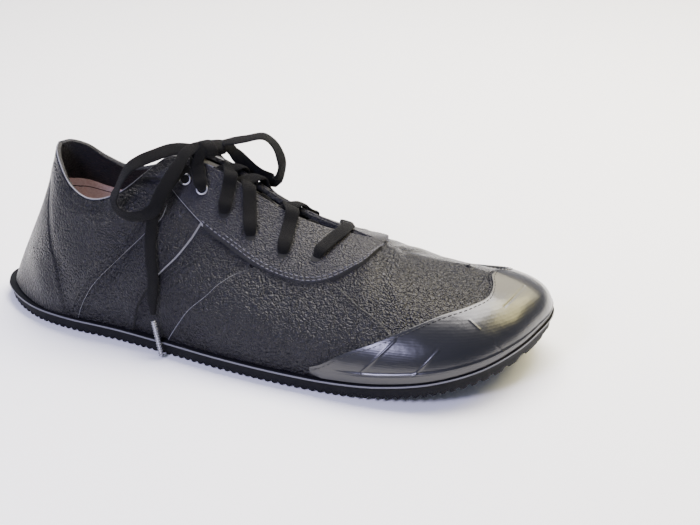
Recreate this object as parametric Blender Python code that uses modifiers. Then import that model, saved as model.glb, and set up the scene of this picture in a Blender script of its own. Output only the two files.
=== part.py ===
"""Low leather lace-up shoe with a thin flexible sole, for a right foot.

Metres, +Z up, +X towards the toes, -Y the outer side of the foot.
The origin lies on the floor under the middle of the sole's box.
"""
import math

import bmesh
import bpy
import numpy as np
from mathutils import Vector

# Driving dimensions
LENGTH = 0.2803
BALL_WIDTH = 0.106
HEEL_WIDTH = 0.072
COLLAR_HEIGHT = 0.081
INSTEP_HEIGHT = 0.068
TOE_BOX_HEIGHT = 0.046
TOE_SPRING = 0.016
TOE_SPRING_REACH = 0.34
HEEL_LIFT = 0.0004
HEEL_LIFT_REACH = 0.10
PAST_TOE = 1.1
PAST_HEEL = 1.2

# Sole
SOLE_THICKNESS = 0.0076
RIM_HEIGHT = 0.0017
RIM_REACH = 0.0011
SOLE_EDGE_INSET = 0.0006
RIM_SLOPE = 0.0004
RIM_ROUND = 0.0006
FOOT_INSET = 0.0008
FOOT_HEIGHT = 0.0010
LUG_PITCH = 0.0092
LUG_GROOVE_WIDTH = 0.0026
LUG_GROOVE_DEPTH = 0.0018
LUG_SWEEP = 0.010
LUG_MARGIN = 0.012
LUG_FIRST = 0.8
LUG_BELOW = 0.004
LUG_MIDDLE = 0.05
LUG_REACH = 0.75

# Leather, rubber and lace
WALL = 0.0020
PANEL = 0.0012
CAP_THICKNESS = 0.0016
TONGUE_THICKNESS = 0.0018
INSOLE_THICKNESS = 0.0030
INSOLE_CLEARANCE = 0.0022
INSOLE_ROUND = 0.0008
INSOLE_FOOT = 0.0006
INSOLE_HEEL_SHIFT = 2.2
INSOLE_HEEL_NARROWING = 0.10
CLEARANCE = 0.0003
FEATHER_INSET = 0.0020
FEATHER_INSET_HEEL = 0.0048
HEEL_REACH = 0.16
LACE_WIDTH = 0.0066
LACE_THICKNESS = 0.0012
CORD_DIAMETER = 0.0028
AGLET_DIAMETER = 0.0026
KNOT_RADIUS = 0.0042
HOLE_OVERLAP = 0.020
CROSSING_STEPS = 5
CORD_SPACING = 3.0
EYELET_SEGMENTS = 12
EYELET_PROFILE = (
    # radius, height over the upper
    (0.00190, 0.0020),
    (0.00190, 0.0026),
    (0.00250, 0.0029),
    (0.00320, 0.0027),
    (0.00360, 0.0023),
    (0.00345, 0.0020),
)
TONGUE_SHARES = (0.372, 0.640)
TONGUE_RIBS = 13
TONGUE_RIB_LIST = (0.72, 0.79, 0.86, 0.93)
TONGUE_CREST_DROP = 1.25
PANEL_GAP = 0.0004
PANEL_FOOT = 0.03
STAY_TOP = 0.99
INSIDE_MIDDLE = (0.45, 0.50)

# Mesh density
OUTLINE_STEPS = 24
OUTLINE_EVENNESS = 0.6
SOLE_STEPS = 32
INSOLE_STEPS = 20
NORMAL_STEP = 0.004
NORMAL_RIB_STEP = 0.01
SHARE_STEP = 0.005
MERGE_DISTANCE = 1e-6
SHARP_ANGLE = 38
THROAT_RIBS = 31
TOE_RIBS = 14
RIB_STEPS = 14
CAP_RIBS = 16
CAP_STEPS = 6
QUARTER_RIBS = 11
QUARTER_STEPS = 10
STAY_RIBS = 16
STAY_STEPS = 6
STAY_TIP_RIBS = 4
END_CROWDING = 0.75

# Outline of the sole. Along is a share of LENGTH, outer and inner are shares of the local width.
OUTLINE = (
    # along, outer, inner
    (0.015, -0.160, 0.170),
    (0.045, -0.285, 0.300),
    (0.075, -0.372, 0.385),
    (0.120, -0.462, 0.455),
    (0.188, -0.525, 0.479),
    (0.290, -0.560, 0.455),
    (0.392, -0.576, 0.410),
    (0.495, -0.542, 0.402),
    (0.598, -0.510, 0.432),
    (0.700, -0.510, 0.490),
    (0.782, -0.505, 0.495),
    (0.868, -0.460, 0.462),
    (0.932, -0.355, 0.412),
    (0.972, -0.195, 0.330),
    (0.991, -0.040, 0.245),
)
TOE_TIP_OFFSET = 0.115
WIDENING = (0.30, 0.65)

# Top line of the upper, from the heel's peak over the collar and the ear down the throat to its tip.
# Station runs along the line, along is a share of LENGTH, outer and inner are shares of BALL_WIDTH
# from the middle of the foot, and the heights of the two sides are shares of COLLAR_HEIGHT.
TOP_LINE = (
    # station, along, outer, inner, outer height, inner height
    (0.00, 0.110, 0.025, 0.025, 1.005, 1.005),
    (0.05, 0.122, -0.050, 0.085, 0.990, 1.000),
    (0.10, 0.144, -0.118, 0.135, 0.930, 0.960),
    (0.16, 0.173, -0.165, 0.172, 0.832, 0.880),
    (0.23, 0.220, -0.195, 0.190, 0.786, 0.820),
    (0.30, 0.274, -0.178, 0.180, 0.855, 0.865),
    (0.36, 0.313, -0.115, 0.142, 0.968, 0.950),
    (0.41, 0.342, -0.066, 0.105, 1.045, 1.025),
    (0.47, 0.377, -0.045, 0.068, 1.048, 1.045),
    (0.54, 0.422, -0.036, 0.056, 1.008, 1.014),
    (0.69, 0.494, -0.022, 0.055, 0.882, 0.880),
    (0.80, 0.558, -0.013, 0.054, 0.770, 0.776),
    (0.92, 0.636, 0.012, 0.054, 0.688, 0.692),
    (1.00, 0.698, 0.040, 0.040, 0.648, 0.648),
)

# Ribs of the upper, from the sole's edge to the top line or, past the throat, to the ridge.
# Share runs round the edge from heel to toe, station is where the rib meets the top line,
# and the handles shape the rib: out and up are shares of INSTEP_HEIGHT.
THROAT_TIP_SHARE = 0.660
RIBS_OUTER = (
    # share, station, low_out, low_up, high_out, high_up
    (0.000, 0.00, -0.140, 0.36, 0.03, -0.38),
    (0.100, 0.08, -0.090, 0.36, 0.05, -0.36),
    (0.225, 0.23, 0.060, 0.30, 0.12, -0.28),
    (0.280, 0.31, 0.065, 0.32, 0.15, -0.28),
    (0.360, 0.46, 0.065, 0.36, 0.22, -0.34),
    (0.470, 0.70, 0.065, 0.36, 0.26, -0.24),
    (0.605, 0.92, 0.065, 0.36, 0.32, -0.08),
    (0.660, 1.00, 0.065, 0.35, 0.34, 0.03),
    (0.820, 1.00, 0.055, 0.28, 0.32, 0.02),
    (1.000, 1.00, 0.030, 0.20, 0.32, -0.06),
)
RIBS_INNER = (
    # share, station, low_out, low_up, high_out, high_up
    (0.000, 0.00, -0.140, 0.36, 0.03, -0.38),
    (0.100, 0.08, -0.090, 0.36, 0.05, -0.36),
    (0.225, 0.23, 0.050, 0.32, 0.12, -0.28),
    (0.280, 0.31, 0.050, 0.34, 0.15, -0.28),
    (0.360, 0.46, 0.040, 0.40, 0.22, -0.34),
    (0.470, 0.70, 0.040, 0.42, 0.26, -0.26),
    (0.605, 0.92, 0.050, 0.42, 0.30, -0.12),
    (0.660, 1.00, 0.055, 0.36, 0.30, -0.06),
    (0.820, 1.00, 0.045, 0.22, 0.28, -0.10),
    (1.000, 1.00, 0.030, 0.20, 0.32, -0.06),
)

# Ridge of the forefoot, from the throat's tip to the toe box.
RIDGE = (
    # share, along, side as a share of BALL_WIDTH, height as a share of TOE_BOX_HEIGHT
    (0.660, 0.698, 0.040, 1.141),
    (0.740, 0.748, 0.060, 1.060),
    (0.840, 0.800, 0.080, 1.000),
    (1.000, 0.858, 0.110, 0.950),
)

# Edges of the panels over the upper, as shares of a rib's length from the sole's edge.
CAP_EDGE = (
    # share, outer rib, inner rib
    (0.602, 0.04, 0.04),
    (0.627, 0.09, 0.08),
    (0.663, 0.18, 0.16),
    (0.707, 0.26, 0.23),
    (0.743, 0.33, 0.29),
    (0.803, 0.43, 0.38),
    (0.860, 0.48, 0.45),
    (0.905, 0.53, 0.53),
    (0.935, 0.62, 0.63),
    (0.965, 0.73, 0.74),
    (1.000, 0.80, 0.80),
)
EYESTAY_EDGE = (
    # share, rib
    (0.304, 0.975),
    (0.325, 0.905),
    (0.353, 0.820),
    (0.403, 0.700),
    (0.460, 0.640),
    (0.503, 0.600),
    (0.557, 0.570),
    (0.595, 0.570),
    (0.624, 0.610),
    (0.647, 0.680),
    (0.673, 0.790),
    (0.688, 0.920),
)
QUARTER_FRONT = (
    # rib, share
    (0.00, 0.226),
    (0.20, 0.243),
    (0.35, 0.260),
    (0.55, 0.302),
    (0.70, 0.332),
    (0.80, 0.347),
    (1.00, 0.352),
)
QUARTER_TOP = (
    # share, rib
    (0.000, 0.985),
    (0.250, 0.985),
    (0.285, 0.975),
    (0.322, 0.885),
    (0.352, 0.795),
)

# Lace holes of each side, front to back. Meets is the share where the lace from the hole reaches
# the throat, and lift is its height over the upper.
HOLES = (
    # name, share, rib, meets, lift
    ("front", 0.593, 0.730, 0.618, 0.0021),
    ("second", 0.540, 0.710, 0.530, 0.0021),
    ("third", 0.483, 0.735, 0.457, 0.0021),
    ("fourth", 0.433, 0.785, 0.425, 0.0021),
    ("fifth", 0.393, 0.860, 0.379, 0.0034),
)
THROAT_LIFT = 0.0021
METAL_HOLES = (("fifth", 0.393, 0.860), ("top", 0.370, 0.880))

# Centre lines of the bow, as shares of LENGTH, BALL_WIDTH and COLLAR_HEIGHT.
KNOT_LINE = (
    # along, side, height
    (0.3980, -0.042, 1.123),
    (0.4090, -0.008, 1.126),
    (0.4200, 0.026, 1.126),
)
LOOP_OUTER = (
    # along, side, height
    (0.3955, -0.050, 1.123),
    (0.3820, -0.078, 1.128),
    (0.3580, -0.116, 1.124),
    (0.3390, -0.160, 1.104),
    (0.3180, -0.198, 1.075),
    (0.3040, -0.226, 1.045),
    (0.2920, -0.245, 0.980),
    (0.2820, -0.252, 0.903),
    (0.2740, -0.254, 0.837),
    (0.2800, -0.262, 0.792),
    (0.2960, -0.268, 0.764),
    (0.3230, -0.268, 0.769),
    (0.3390, -0.264, 0.786),
    (0.3510, -0.256, 0.822),
    (0.3590, -0.240, 0.890),
    (0.3690, -0.205, 0.970),
    (0.3790, -0.155, 1.050),
    (0.3850, -0.108, 1.108),
)
LOOP_INNER = (
    # along, side, height
    (0.4290, 0.040, 1.130),
    (0.4420, 0.050, 1.140),
    (0.4650, 0.066, 1.157),
    (0.4990, 0.094, 1.172),
    (0.5110, 0.113, 1.125),
    (0.5180, 0.132, 1.052),
    (0.5210, 0.137, 1.001),
    (0.5170, 0.144, 0.935),
    (0.5080, 0.146, 0.880),
    (0.4860, 0.133, 0.905),
    (0.4590, 0.108, 0.980),
    (0.4350, 0.072, 1.085),
)

# The lace's free ends lie against the upper. Distance is out from the upper, in metres.
LOOSE_END = (
    # share, rib, distance
    (0.368, 0.955, 0.0040),
    (0.362, 0.910, 0.0046),
    (0.354, 0.850, 0.0050),
    (0.346, 0.790, 0.0042),
    (0.338, 0.720, 0.0037),
    (0.339, 0.640, 0.0035),
    (0.343, 0.550, 0.0030),
    (0.350, 0.450, 0.0027),
    (0.357, 0.350, 0.0026),
    (0.363, 0.240, 0.0030),
    (0.368, 0.165, 0.0038),
)
AGLET_TOP = (0.3705, 0.135, 0.0048)
AGLET_FOOT = (0.381, 0.0031, 0.0016)


def clear_scene():
    for old in list(bpy.data.objects):
        bpy.data.objects.remove(old, do_unlink=True)


def material(name, colour, roughness, metallic=0.0):
    made = bpy.data.materials.new(name)
    made.use_nodes = True
    shader = made.node_tree.nodes["Principled BSDF"]
    shader.inputs["Base Color"].default_value = (*colour, 1.0)
    shader.inputs["Roughness"].default_value = roughness
    shader.inputs["Metallic"].default_value = metallic
    return made


def hermite(keys, values, at):
    """Smooth curve through the rows of a table, read at one or many keys."""
    keys = np.asarray(keys, float)
    values = np.asarray(values, float)
    slopes = np.gradient(values, keys, axis=0)
    at = np.clip(np.asarray(at, float), keys[0], keys[-1])
    row = np.clip(np.searchsorted(keys, at, side="right") - 1, 0, len(keys) - 2)
    width = keys[row + 1] - keys[row]
    t = (at - keys[row]) / width
    if values.ndim > 1:
        t = t[..., None]
        width = width[..., None]
    first = (2 * t**3 - 3 * t**2 + 1) * values[row] + (t**3 - 2 * t**2 + t) * width * slopes[row]
    second = (3 * t**2 - 2 * t**3) * values[row + 1] + (t**3 - t**2) * width * slopes[row + 1]
    return first + second


def table(rows, at):
    """All columns after the first, read at a value of the first."""
    rows = np.asarray(rows, float)
    return hermite(rows[:, 0], rows[:, 1:], at)


def closed_curve(points, steps):
    """Dense closed curve through the points, smooth all round."""
    points = np.asarray(points, float)
    count = len(points)
    wrapped = np.vstack([points[-3:], points, points[:4]])
    chord = np.linalg.norm(np.diff(wrapped, axis=0), axis=1) ** OUTLINE_EVENNESS
    keys = np.concatenate([[0.0], np.cumsum(chord)])
    at = np.linspace(keys[3], keys[3 + count], count * steps + 1)
    return hermite(keys, wrapped, at)


def local_width(along):
    t = np.clip((along - WIDENING[0]) / (WIDENING[1] - WIDENING[0]), 0, 1)
    return HEEL_WIDTH + (BALL_WIDTH - HEEL_WIDTH) * t * t * (3 - 2 * t)


def spring(x):
    """Height of the sole's underside over the floor, at a distance from the heel."""
    toe = np.clip(1 - (1 - x / LENGTH) / TOE_SPRING_REACH, 0, PAST_TOE)
    heel = np.clip(1 - x / (HEEL_LIFT_REACH * LENGTH), 0, PAST_HEEL)
    return TOE_SPRING * toe**2 + HEEL_LIFT * heel**2


class Outline:
    """The sole's edge, read by side (-1 outer, 1 inner) and by share from heel to toe."""

    def __init__(self):
        rows = np.asarray(OUTLINE)
        width = local_width(rows[:, 0])
        outer = np.c_[rows[:, 0] * LENGTH, rows[:, 1] * width]
        inner = np.c_[rows[:, 0] * LENGTH, rows[:, 2] * width]
        heel = np.array([[0.0, 0.0]])
        toe = np.array([[LENGTH, TOE_TIP_OFFSET * BALL_WIDTH]])
        loop = closed_curve(np.vstack([heel, outer, toe, inner[::-1]]), OUTLINE_STEPS)
        split = (len(outer) + 1) * OUTLINE_STEPS
        self.middle = (loop.min(axis=0) + loop.max(axis=0)) / 2
        tangent = np.gradient(loop, axis=0)
        tangent[0] = tangent[-1] = loop[1] - loop[-2]
        tangent /= np.linalg.norm(tangent, axis=1)[:, None]
        outward = np.c_[tangent[:, 1], -tangent[:, 0]]
        self.sides = {-1: (loop[: split + 1], outward[: split + 1])}
        self.sides[1] = (loop[split:][::-1], outward[split:][::-1])
        self.shares = {}
        for side, (points, _) in self.sides.items():
            arc = np.concatenate([[0.0], np.cumsum(np.linalg.norm(np.diff(points, axis=0), axis=1))])
            self.shares[side] = arc / arc[-1]

    def at(self, side, share, inset=0.0):
        points, outward = self.sides[side]
        keys = self.shares[side]
        point = np.array([np.interp(share, keys, points[:, axis]) for axis in (0, 1)])
        out = np.array([np.interp(share, keys, outward[:, axis]) for axis in (0, 1)])
        out /= np.linalg.norm(out)
        return point - out * inset, out


EDGE = Outline()


def feather_inset(share):
    """The upper stands back from the sole's edge, most at the heel."""
    heel = np.clip(1 - share / HEEL_REACH, 0, 1)
    return FEATHER_INSET + (FEATHER_INSET_HEEL - FEATHER_INSET) * heel


def top_point(side, share, station):
    """Where a rib ends: on the top line, or past the throat's tip on the ridge."""
    if share <= THROAT_TIP_SHARE:
        along, outer, inner, outer_height, inner_height = table(TOP_LINE, station)
        side_share, height = (outer, outer_height) if side < 0 else (inner, inner_height)
        return np.array([along * LENGTH, side_share * BALL_WIDTH, height * COLLAR_HEIGHT])
    along, side_share, height = table(RIDGE, share)
    return np.array([along * LENGTH, side_share * BALL_WIDTH, height * TOE_BOX_HEIGHT])


def upper_point(side, share, rib):
    """A point of the upper's outer face: share from heel to toe, rib from the sole's edge upwards."""
    rows = RIBS_OUTER if side < 0 else RIBS_INNER
    station, low_out, low_up, high_out, high_up = table(rows, share)
    base, out = EDGE.at(side, share, feather_inset(share))
    lean = max(0.0, -low_out) / math.hypot(low_out, low_up)
    bottom = np.array([*base, SOLE_THICKNESS + CLEARANCE + WALL * lean + spring(base[0])])
    top = top_point(side, share, min(station, 1.0))
    across = bottom[:2] - top[:2]
    across /= np.linalg.norm(across)
    low = bottom + INSTEP_HEIGHT * np.array([*(out * low_out), low_up])
    high = top + INSTEP_HEIGHT * np.array([*(across * high_out), high_up])
    s = 1 - rib
    return s**3 * bottom + 3 * s * s * rib * low + 3 * s * rib * rib * high + rib**3 * top


def upper_normal(side, share, rib):
    """Outward direction of the upper's face."""
    step = NORMAL_STEP
    low, high = max(share - step, 0.0), min(share + step, 1.0)
    if share <= THROAT_TIP_SHARE:
        high = min(high, THROAT_TIP_SHARE)
    along = upper_point(side, high, rib) - upper_point(side, low, rib)
    if share <= step:
        along = upper_point(side, share + step, rib) - upper_point(-side, share + step, rib)
    if share >= 1 - step:
        along = upper_point(-side, share - step, rib) - upper_point(side, share - step, rib)
    above, below = min(rib + NORMAL_RIB_STEP, 1), max(rib - NORMAL_RIB_STEP, 0)
    up = upper_point(side, share, above) - upper_point(side, share, below)
    normal = np.cross(along, up) * (1 if side < 0 else -1)
    return normal / np.linalg.norm(normal)


def off_upper(side, share, rib, distance):
    """A point at a distance outside the upper's face, or inside it if negative."""
    normal = upper_normal(side, share, rib)
    if share >= THROAT_TIP_SHARE and rib == 1.0:
        normal = normal + upper_normal(-side, share, rib)
        normal /= np.linalg.norm(normal)
    return upper_point(side, share, rib) + normal * distance


def to_frame(point):
    """From heel and floor coordinates to the part's own frame."""
    return Vector((point[0] - EDGE.middle[0], point[1] - EDGE.middle[1], point[2]))


def collection(name):
    made = bpy.data.collections.new(name)
    bpy.context.scene.collection.children.link(made)
    return made


def mesh_object(name, points, faces, finish, target, smooth=True):
    mesh = bpy.data.meshes.new(name)
    mesh.from_pydata([tuple(p) for p in points], [], faces)
    work = bmesh.new()
    work.from_mesh(mesh)
    bmesh.ops.remove_doubles(work, verts=work.verts, dist=MERGE_DISTANCE)
    work.to_mesh(mesh)
    work.free()
    mesh.validate()
    made = bpy.data.objects.new(name, mesh)
    target.objects.link(made)
    if finish:
        mesh.materials.append(finish)
    if smooth:
        mesh.shade_smooth()
        mesh.set_sharp_from_angle(angle=math.radians(SHARP_ANGLE))
    return made


def recalculate(made):
    work = bmesh.new()
    work.from_mesh(made.data)
    bmesh.ops.recalc_face_normals(work, faces=work.faces)
    work.to_mesh(made.data)
    work.free()


def strip_grid(rows):
    """Points and quads of a grid given as rows of equal length."""
    points = [p for row in rows for p in row]
    width = len(rows[0])
    faces = []
    for i in range(len(rows) - 1):
        for j in range(width - 1):
            a = i * width + j
            faces.append((a, a + width, a + width + 1, a + 1))
    return points, faces


def thicken(made, thickness, outward):
    """Gives a sheet its thickness, outside it or inside it."""
    solid = made.modifiers.new("wall", "SOLIDIFY")
    solid.thickness = thickness
    solid.offset = 1.0 if outward else -1.0
    solid.use_even_offset = False
    solid.use_rim = True
    return made


def sheet(name, columns, finish, target):
    """A sheet with one list of points for each rib, its faces turned outwards."""
    points, faces = strip_grid(columns)
    made = mesh_object(name, [to_frame(p) for p in points], faces, finish, target)
    turn_outward(made)
    return made


def make_upper(finish, target):
    before = list(np.linspace(0.0, THROAT_TIP_SHARE, THROAT_RIBS))
    after = list(np.linspace(THROAT_TIP_SHARE, 1.0, TOE_RIBS))[1:]
    columns = []
    steps = np.linspace(0.0, 1.0, RIB_STEPS + 1)
    for side, shares in ((-1, before + after), (1, (before + after)[::-1][1:])):
        for share in shares:
            columns.append([upper_point(side, share, rib) for rib in steps])
    made = sheet("upper", columns, finish, target)
    thicken(made, WALL, outward=False)
    return made


def turn_outward(made):
    """Turns the faces of an open sheet away from the middle of the shoe's inside."""
    work = bmesh.new()
    work.from_mesh(made.data)
    bmesh.ops.recalc_face_normals(work, faces=work.faces)
    inside = to_frame((INSIDE_MIDDLE[0] * LENGTH, 0.0, INSIDE_MIDDLE[1] * COLLAR_HEIGHT))
    lean = 0.0
    for face in work.faces:
        lean += face.normal.dot(face.calc_center_median() - inside) * face.calc_area()
    if lean < 0:
        bmesh.ops.reverse_faces(work, faces=work.faces)
    work.to_mesh(made.data)
    work.free()


def make_toe_cap(finish, target):
    shares = np.linspace(CAP_EDGE[0][0], 1.0, CAP_RIBS)
    columns = []
    for side, order in ((-1, shares), (1, shares[::-1][1:])):
        for share in order:
            outer, inner = table(CAP_EDGE, share)
            high = outer if side < 0 else inner
            ribs = np.linspace(PANEL_FOOT, high, CAP_STEPS)
            columns.append([off_upper(side, share, rib, PANEL_GAP) for rib in ribs])
    made = sheet("toe_cap", columns, finish, target)
    thicken(made, CAP_THICKNESS, outward=True)
    return made


def make_heel_quarter(finish, target):
    """The panel round the heel. Its front edge leans forward as it rises."""
    columns = []
    spread = np.linspace(0.0, 1.0, QUARTER_RIBS)
    for side, order in ((-1, spread[::-1]), (1, spread[1:])):
        for part in order:
            column = []
            for rib in np.linspace(PANEL_FOOT, 1.0, QUARTER_STEPS):
                share = part * float(table(QUARTER_FRONT, rib)[0])
                top = float(table(QUARTER_TOP, share)[0])
                column.append(off_upper(side, share, rib * top, PANEL_GAP))
            columns.append(column)
    made = sheet("heel_quarter", columns, finish, target)
    thicken(made, PANEL, outward=True)
    return made


def make_eyestay(finish, target):
    """The facing round the throat: one grid on each side, joined along the ridge in front of the throat."""
    first = EYESTAY_EDGE[0][0]
    last = EYESTAY_EDGE[-1][0]
    beside_throat = np.linspace(first, THROAT_TIP_SHARE, STAY_RIBS)
    before_throat = np.linspace(THROAT_TIP_SHARE, last, STAY_TIP_RIBS)[1:]
    shares = np.r_[beside_throat, before_throat]
    points = []
    faces = []
    for side in (-1, 1):
        columns = []
        for share in shares:
            low = float(table(EYESTAY_EDGE, share)[0])
            high = 1.0 if share >= THROAT_TIP_SHARE else STAY_TOP
            ribs = np.linspace(low, high, STAY_STEPS)
            columns.append([off_upper(side, share, rib, PANEL_GAP) for rib in ribs])
        grid, quads = strip_grid(columns)
        start = len(points)
        points += grid
        faces += [tuple(start + i for i in quad[::side]) for quad in quads]
    made = mesh_object("eyestay", [to_frame(p) for p in points], faces, finish, target)
    turn_outward(made)
    thicken(made, PANEL, outward=True)
    return made


def sole_ring(inset, height, count):
    """One ring of the sole: points of the outer side, then of the inner side, heel to toe."""
    even = np.linspace(0.0, 1.0, count)
    shares = even + END_CROWDING * (np.sin(2 * np.pi * even) / (-2 * np.pi))
    ring = {}
    for side in (-1, 1):
        side_points = []
        for share in shares:
            base, _ = EDGE.at(side, share, inset)
            side_points.append((base[0], base[1], height + spring(base[0])))
        ring[side] = side_points
    return ring


def ring_solid(name, rings, finish, target):
    """A solid from rings of the sole's outline, closed by strips that run across it."""
    count = len(rings[0][-1])
    points = []
    index = []
    for ring in rings:
        start = len(points)
        points += ring[-1]
        points += ring[1][1:-1]
        outer = list(range(start, start + count))
        inner = [outer[0]] + list(range(start + count, start + 2 * count - 2)) + [outer[-1]]
        index.append((outer, inner))
    faces = []
    for (low_outer, low_inner), (high_outer, high_inner) in zip(index, index[1:]):
        for low, high, turn in ((low_outer, high_outer, 1), (low_inner, high_inner, -1)):
            for i in range(count - 1):
                quad = (low[i], low[i + 1], high[i + 1], high[i])
                faces.append(quad[::turn])
    for (outer, inner), turn in ((index[0], -1), (index[-1], 1)):
        for i in range(count - 1):
            quad = []
            for corner in (outer[i], outer[i + 1], inner[i + 1], inner[i]):
                if corner not in quad:
                    quad.append(corner)
            faces.append(tuple(quad[::turn]))
    made = mesh_object(name, [to_frame(p) for p in points], faces, finish, target)
    recalculate(made)
    return made


def groove_cutter(centre, target):
    """One swept groove across the sole's underside, following its toe spring."""
    half = LUG_GROOVE_WIDTH / 2
    points = []
    faces = []
    section = ((-half, -LUG_BELOW), (half, -LUG_BELOW), (half, LUG_GROOVE_DEPTH), (-half, LUG_GROOVE_DEPTH))
    for y_share in (-LUG_REACH, LUG_MIDDLE, LUG_REACH):
        y = y_share * BALL_WIDTH
        x = centre - LUG_SWEEP * abs(y_share - LUG_MIDDLE)
        for dx, dz in section:
            points.append(to_frame((x + dx, y, dz + spring(x + dx))))
    for ring in (0, 4):
        for i in range(4):
            j = (i + 1) % 4
            faces.append((ring + i, ring + j, ring + 4 + j, ring + 4 + i))
    faces.append((3, 2, 1, 0))
    faces.append((8, 9, 10, 11))
    made = mesh_object("groove", points, faces, None, target, smooth=False)
    recalculate(made)
    return made


def make_outsole(finish, target, cutters):
    under_rim = SOLE_THICKNESS - RIM_HEIGHT
    rings = [
        sole_ring(SOLE_EDGE_INSET + FOOT_INSET, 0.0, SOLE_STEPS),
        sole_ring(SOLE_EDGE_INSET, FOOT_HEIGHT, SOLE_STEPS),
        sole_ring(SOLE_EDGE_INSET, under_rim, SOLE_STEPS),
        sole_ring(-RIM_REACH, under_rim + RIM_SLOPE, SOLE_STEPS),
        sole_ring(-RIM_REACH, SOLE_THICKNESS - RIM_SLOPE, SOLE_STEPS),
        sole_ring(-RIM_REACH + RIM_ROUND, SOLE_THICKNESS, SOLE_STEPS),
    ]
    made = ring_solid("outsole", rings, finish, target)
    groove_count = int((LENGTH - 2 * LUG_MARGIN) / LUG_PITCH) + 1
    joined = None
    for i in range(groove_count):
        cutter = groove_cutter(LUG_MARGIN + (i + LUG_FIRST) * LUG_PITCH, cutters)
        if joined is None:
            joined = cutter
            continue
        work = bmesh.new()
        work.from_mesh(joined.data)
        work.from_mesh(cutter.data)
        work.to_mesh(joined.data)
        work.free()
        bpy.data.objects.remove(cutter, do_unlink=True)
    joined.name = "sole_grooves"
    joined.hide_render = True
    joined.display_type = "WIRE"
    cut = made.modifiers.new("grooves", "BOOLEAN")
    cut.operation = "DIFFERENCE"
    cut.object = joined
    return made


def make_insole(finish, target):
    inset = FEATHER_INSET + WALL + INSOLE_CLEARANCE
    floor = SOLE_THICKNESS + CLEARANCE
    rings = [
        insole_ring(inset + INSOLE_FOOT, floor, INSOLE_STEPS),
        insole_ring(inset, floor + INSOLE_ROUND, INSOLE_STEPS),
        insole_ring(inset, floor + INSOLE_THICKNESS - INSOLE_ROUND, INSOLE_STEPS),
        insole_ring(inset + INSOLE_ROUND, floor + INSOLE_THICKNESS, INSOLE_STEPS),
    ]
    return ring_solid("insole", rings, finish, target)


def insole_ring(inset, height, count):
    """A ring that stands clear of the upper's inner face, also where the heel leans in."""
    ring = sole_ring(inset, height, count)
    heel_extra = FEATHER_INSET_HEEL - FEATHER_INSET
    for side in (-1, 1):
        moved = []
        for x, y, z in ring[side]:
            near_heel = max(0.0, 1 - x / (HEEL_REACH * LENGTH))
            forward = x + INSOLE_HEEL_SHIFT * heel_extra * near_heel
            moved.append((forward, y * (1 - INSOLE_HEEL_NARROWING * near_heel), z))
        ring[side] = moved
    return ring


def make_tongue(finish, target):
    """A leather sheet that follows the inner face under both edges of the throat."""
    columns = []
    depth = WALL + PANEL_GAP
    for share in np.linspace(*TONGUE_SHARES, TONGUE_RIBS):
        row = [off_upper(-1, share, rib, -depth) for rib in TONGUE_RIB_LIST]
        crest = (upper_point(-1, share, 1.0) + upper_point(1, share, 1.0)) / 2
        crest[2] -= depth * TONGUE_CREST_DROP
        row.append(crest)
        row += [off_upper(1, share, rib, -depth) for rib in TONGUE_RIB_LIST[::-1]]
        columns.append(row)
    made = sheet("tongue", columns, finish, target)
    thicken(made, TONGUE_THICKNESS, outward=False)
    return made


def surface_step(side, share, rib, distance):
    """The change of share that moves a point of the upper by a distance."""
    moved = upper_point(side, share + SHARE_STEP, rib) - upper_point(side, share - SHARE_STEP, rib)
    return distance * 2 * SHARE_STEP / np.linalg.norm(moved)


def make_crossing(name, share, rib, meets, lift, finish, target):
    """A flat lace from a hole over the facing and the throat to the hole on the other side."""
    sections = []
    for side in (-1, 1):
        half = []
        for t in np.linspace(0.0, 1.0, CROSSING_STEPS):
            at = share + (meets - share) * t
            height = rib - HOLE_OVERLAP + (1.0 - rib + HOLE_OVERLAP) * t
            wide = surface_step(side, at, height, LACE_WIDTH / 2)
            across = [at - wide, at, at + wide]
            rise = lift + (THROAT_LIFT - lift) * t
            low = [off_upper(side, place, height, rise) for place in across]
            high = [off_upper(side, place, height, rise + LACE_THICKNESS) for place in across]
            half.append(low + high[::-1])
        sections.append(half)
    outer, inner = sections
    middle = [(a + b) / 2 for a, b in zip(outer[-1], inner[-1])]
    rings = outer + [middle] + inner[::-1]
    size = len(middle)
    points = [to_frame(p) for ring in rings for p in ring]
    faces = [tuple(range(size))[::-1], tuple(range(len(points) - size, len(points)))]
    for row in range(len(rings) - 1):
        for i in range(size):
            j = (i + 1) % size
            faces.append((row * size + i, row * size + j, (row + 1) * size + j, (row + 1) * size + i))
    made = mesh_object(name, points, faces, finish, target)
    recalculate(made)
    return made


def make_eyelet(name, side, share, rib, finish, target):
    """A pressed metal eyelet: a rolled flange over the facing and a short barrel in the hole."""
    centre = np.array(to_frame(upper_point(side, share, rib)))
    axis = upper_normal(side, share, rib)
    first = np.cross(axis, (1.0, 0.0, 0.0))
    first /= np.linalg.norm(first)
    second = np.cross(axis, first)
    points = []
    for i in range(EYELET_SEGMENTS):
        angle = 2 * math.pi * i / EYELET_SEGMENTS
        out = first * math.cos(angle) + second * math.sin(angle)
        points += [Vector(centre + out * radius + axis * height) for radius, height in EYELET_PROFILE]
    size = len(EYELET_PROFILE)
    faces = []
    for i in range(EYELET_SEGMENTS):
        k = (i + 1) % EYELET_SEGMENTS
        for j in range(size):
            m = (j + 1) % size
            faces.append((i * size + j, i * size + m, k * size + m, k * size + j))
    label = "outer" if side < 0 else "inner"
    made = mesh_object(f"eyelet_{name}_{label}", points, faces, finish, target)
    recalculate(made)
    return made


def smooth_line(points, spacing):
    """Points at even steps along a smooth curve through the given ones."""
    points = np.asarray(points, float)
    arc = np.concatenate([[0.0], np.cumsum(np.linalg.norm(np.diff(points, axis=0), axis=1))])
    count = max(int(arc[-1] / spacing), 2) + 1
    return hermite(arc, points, np.linspace(0.0, arc[-1], count))


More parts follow.
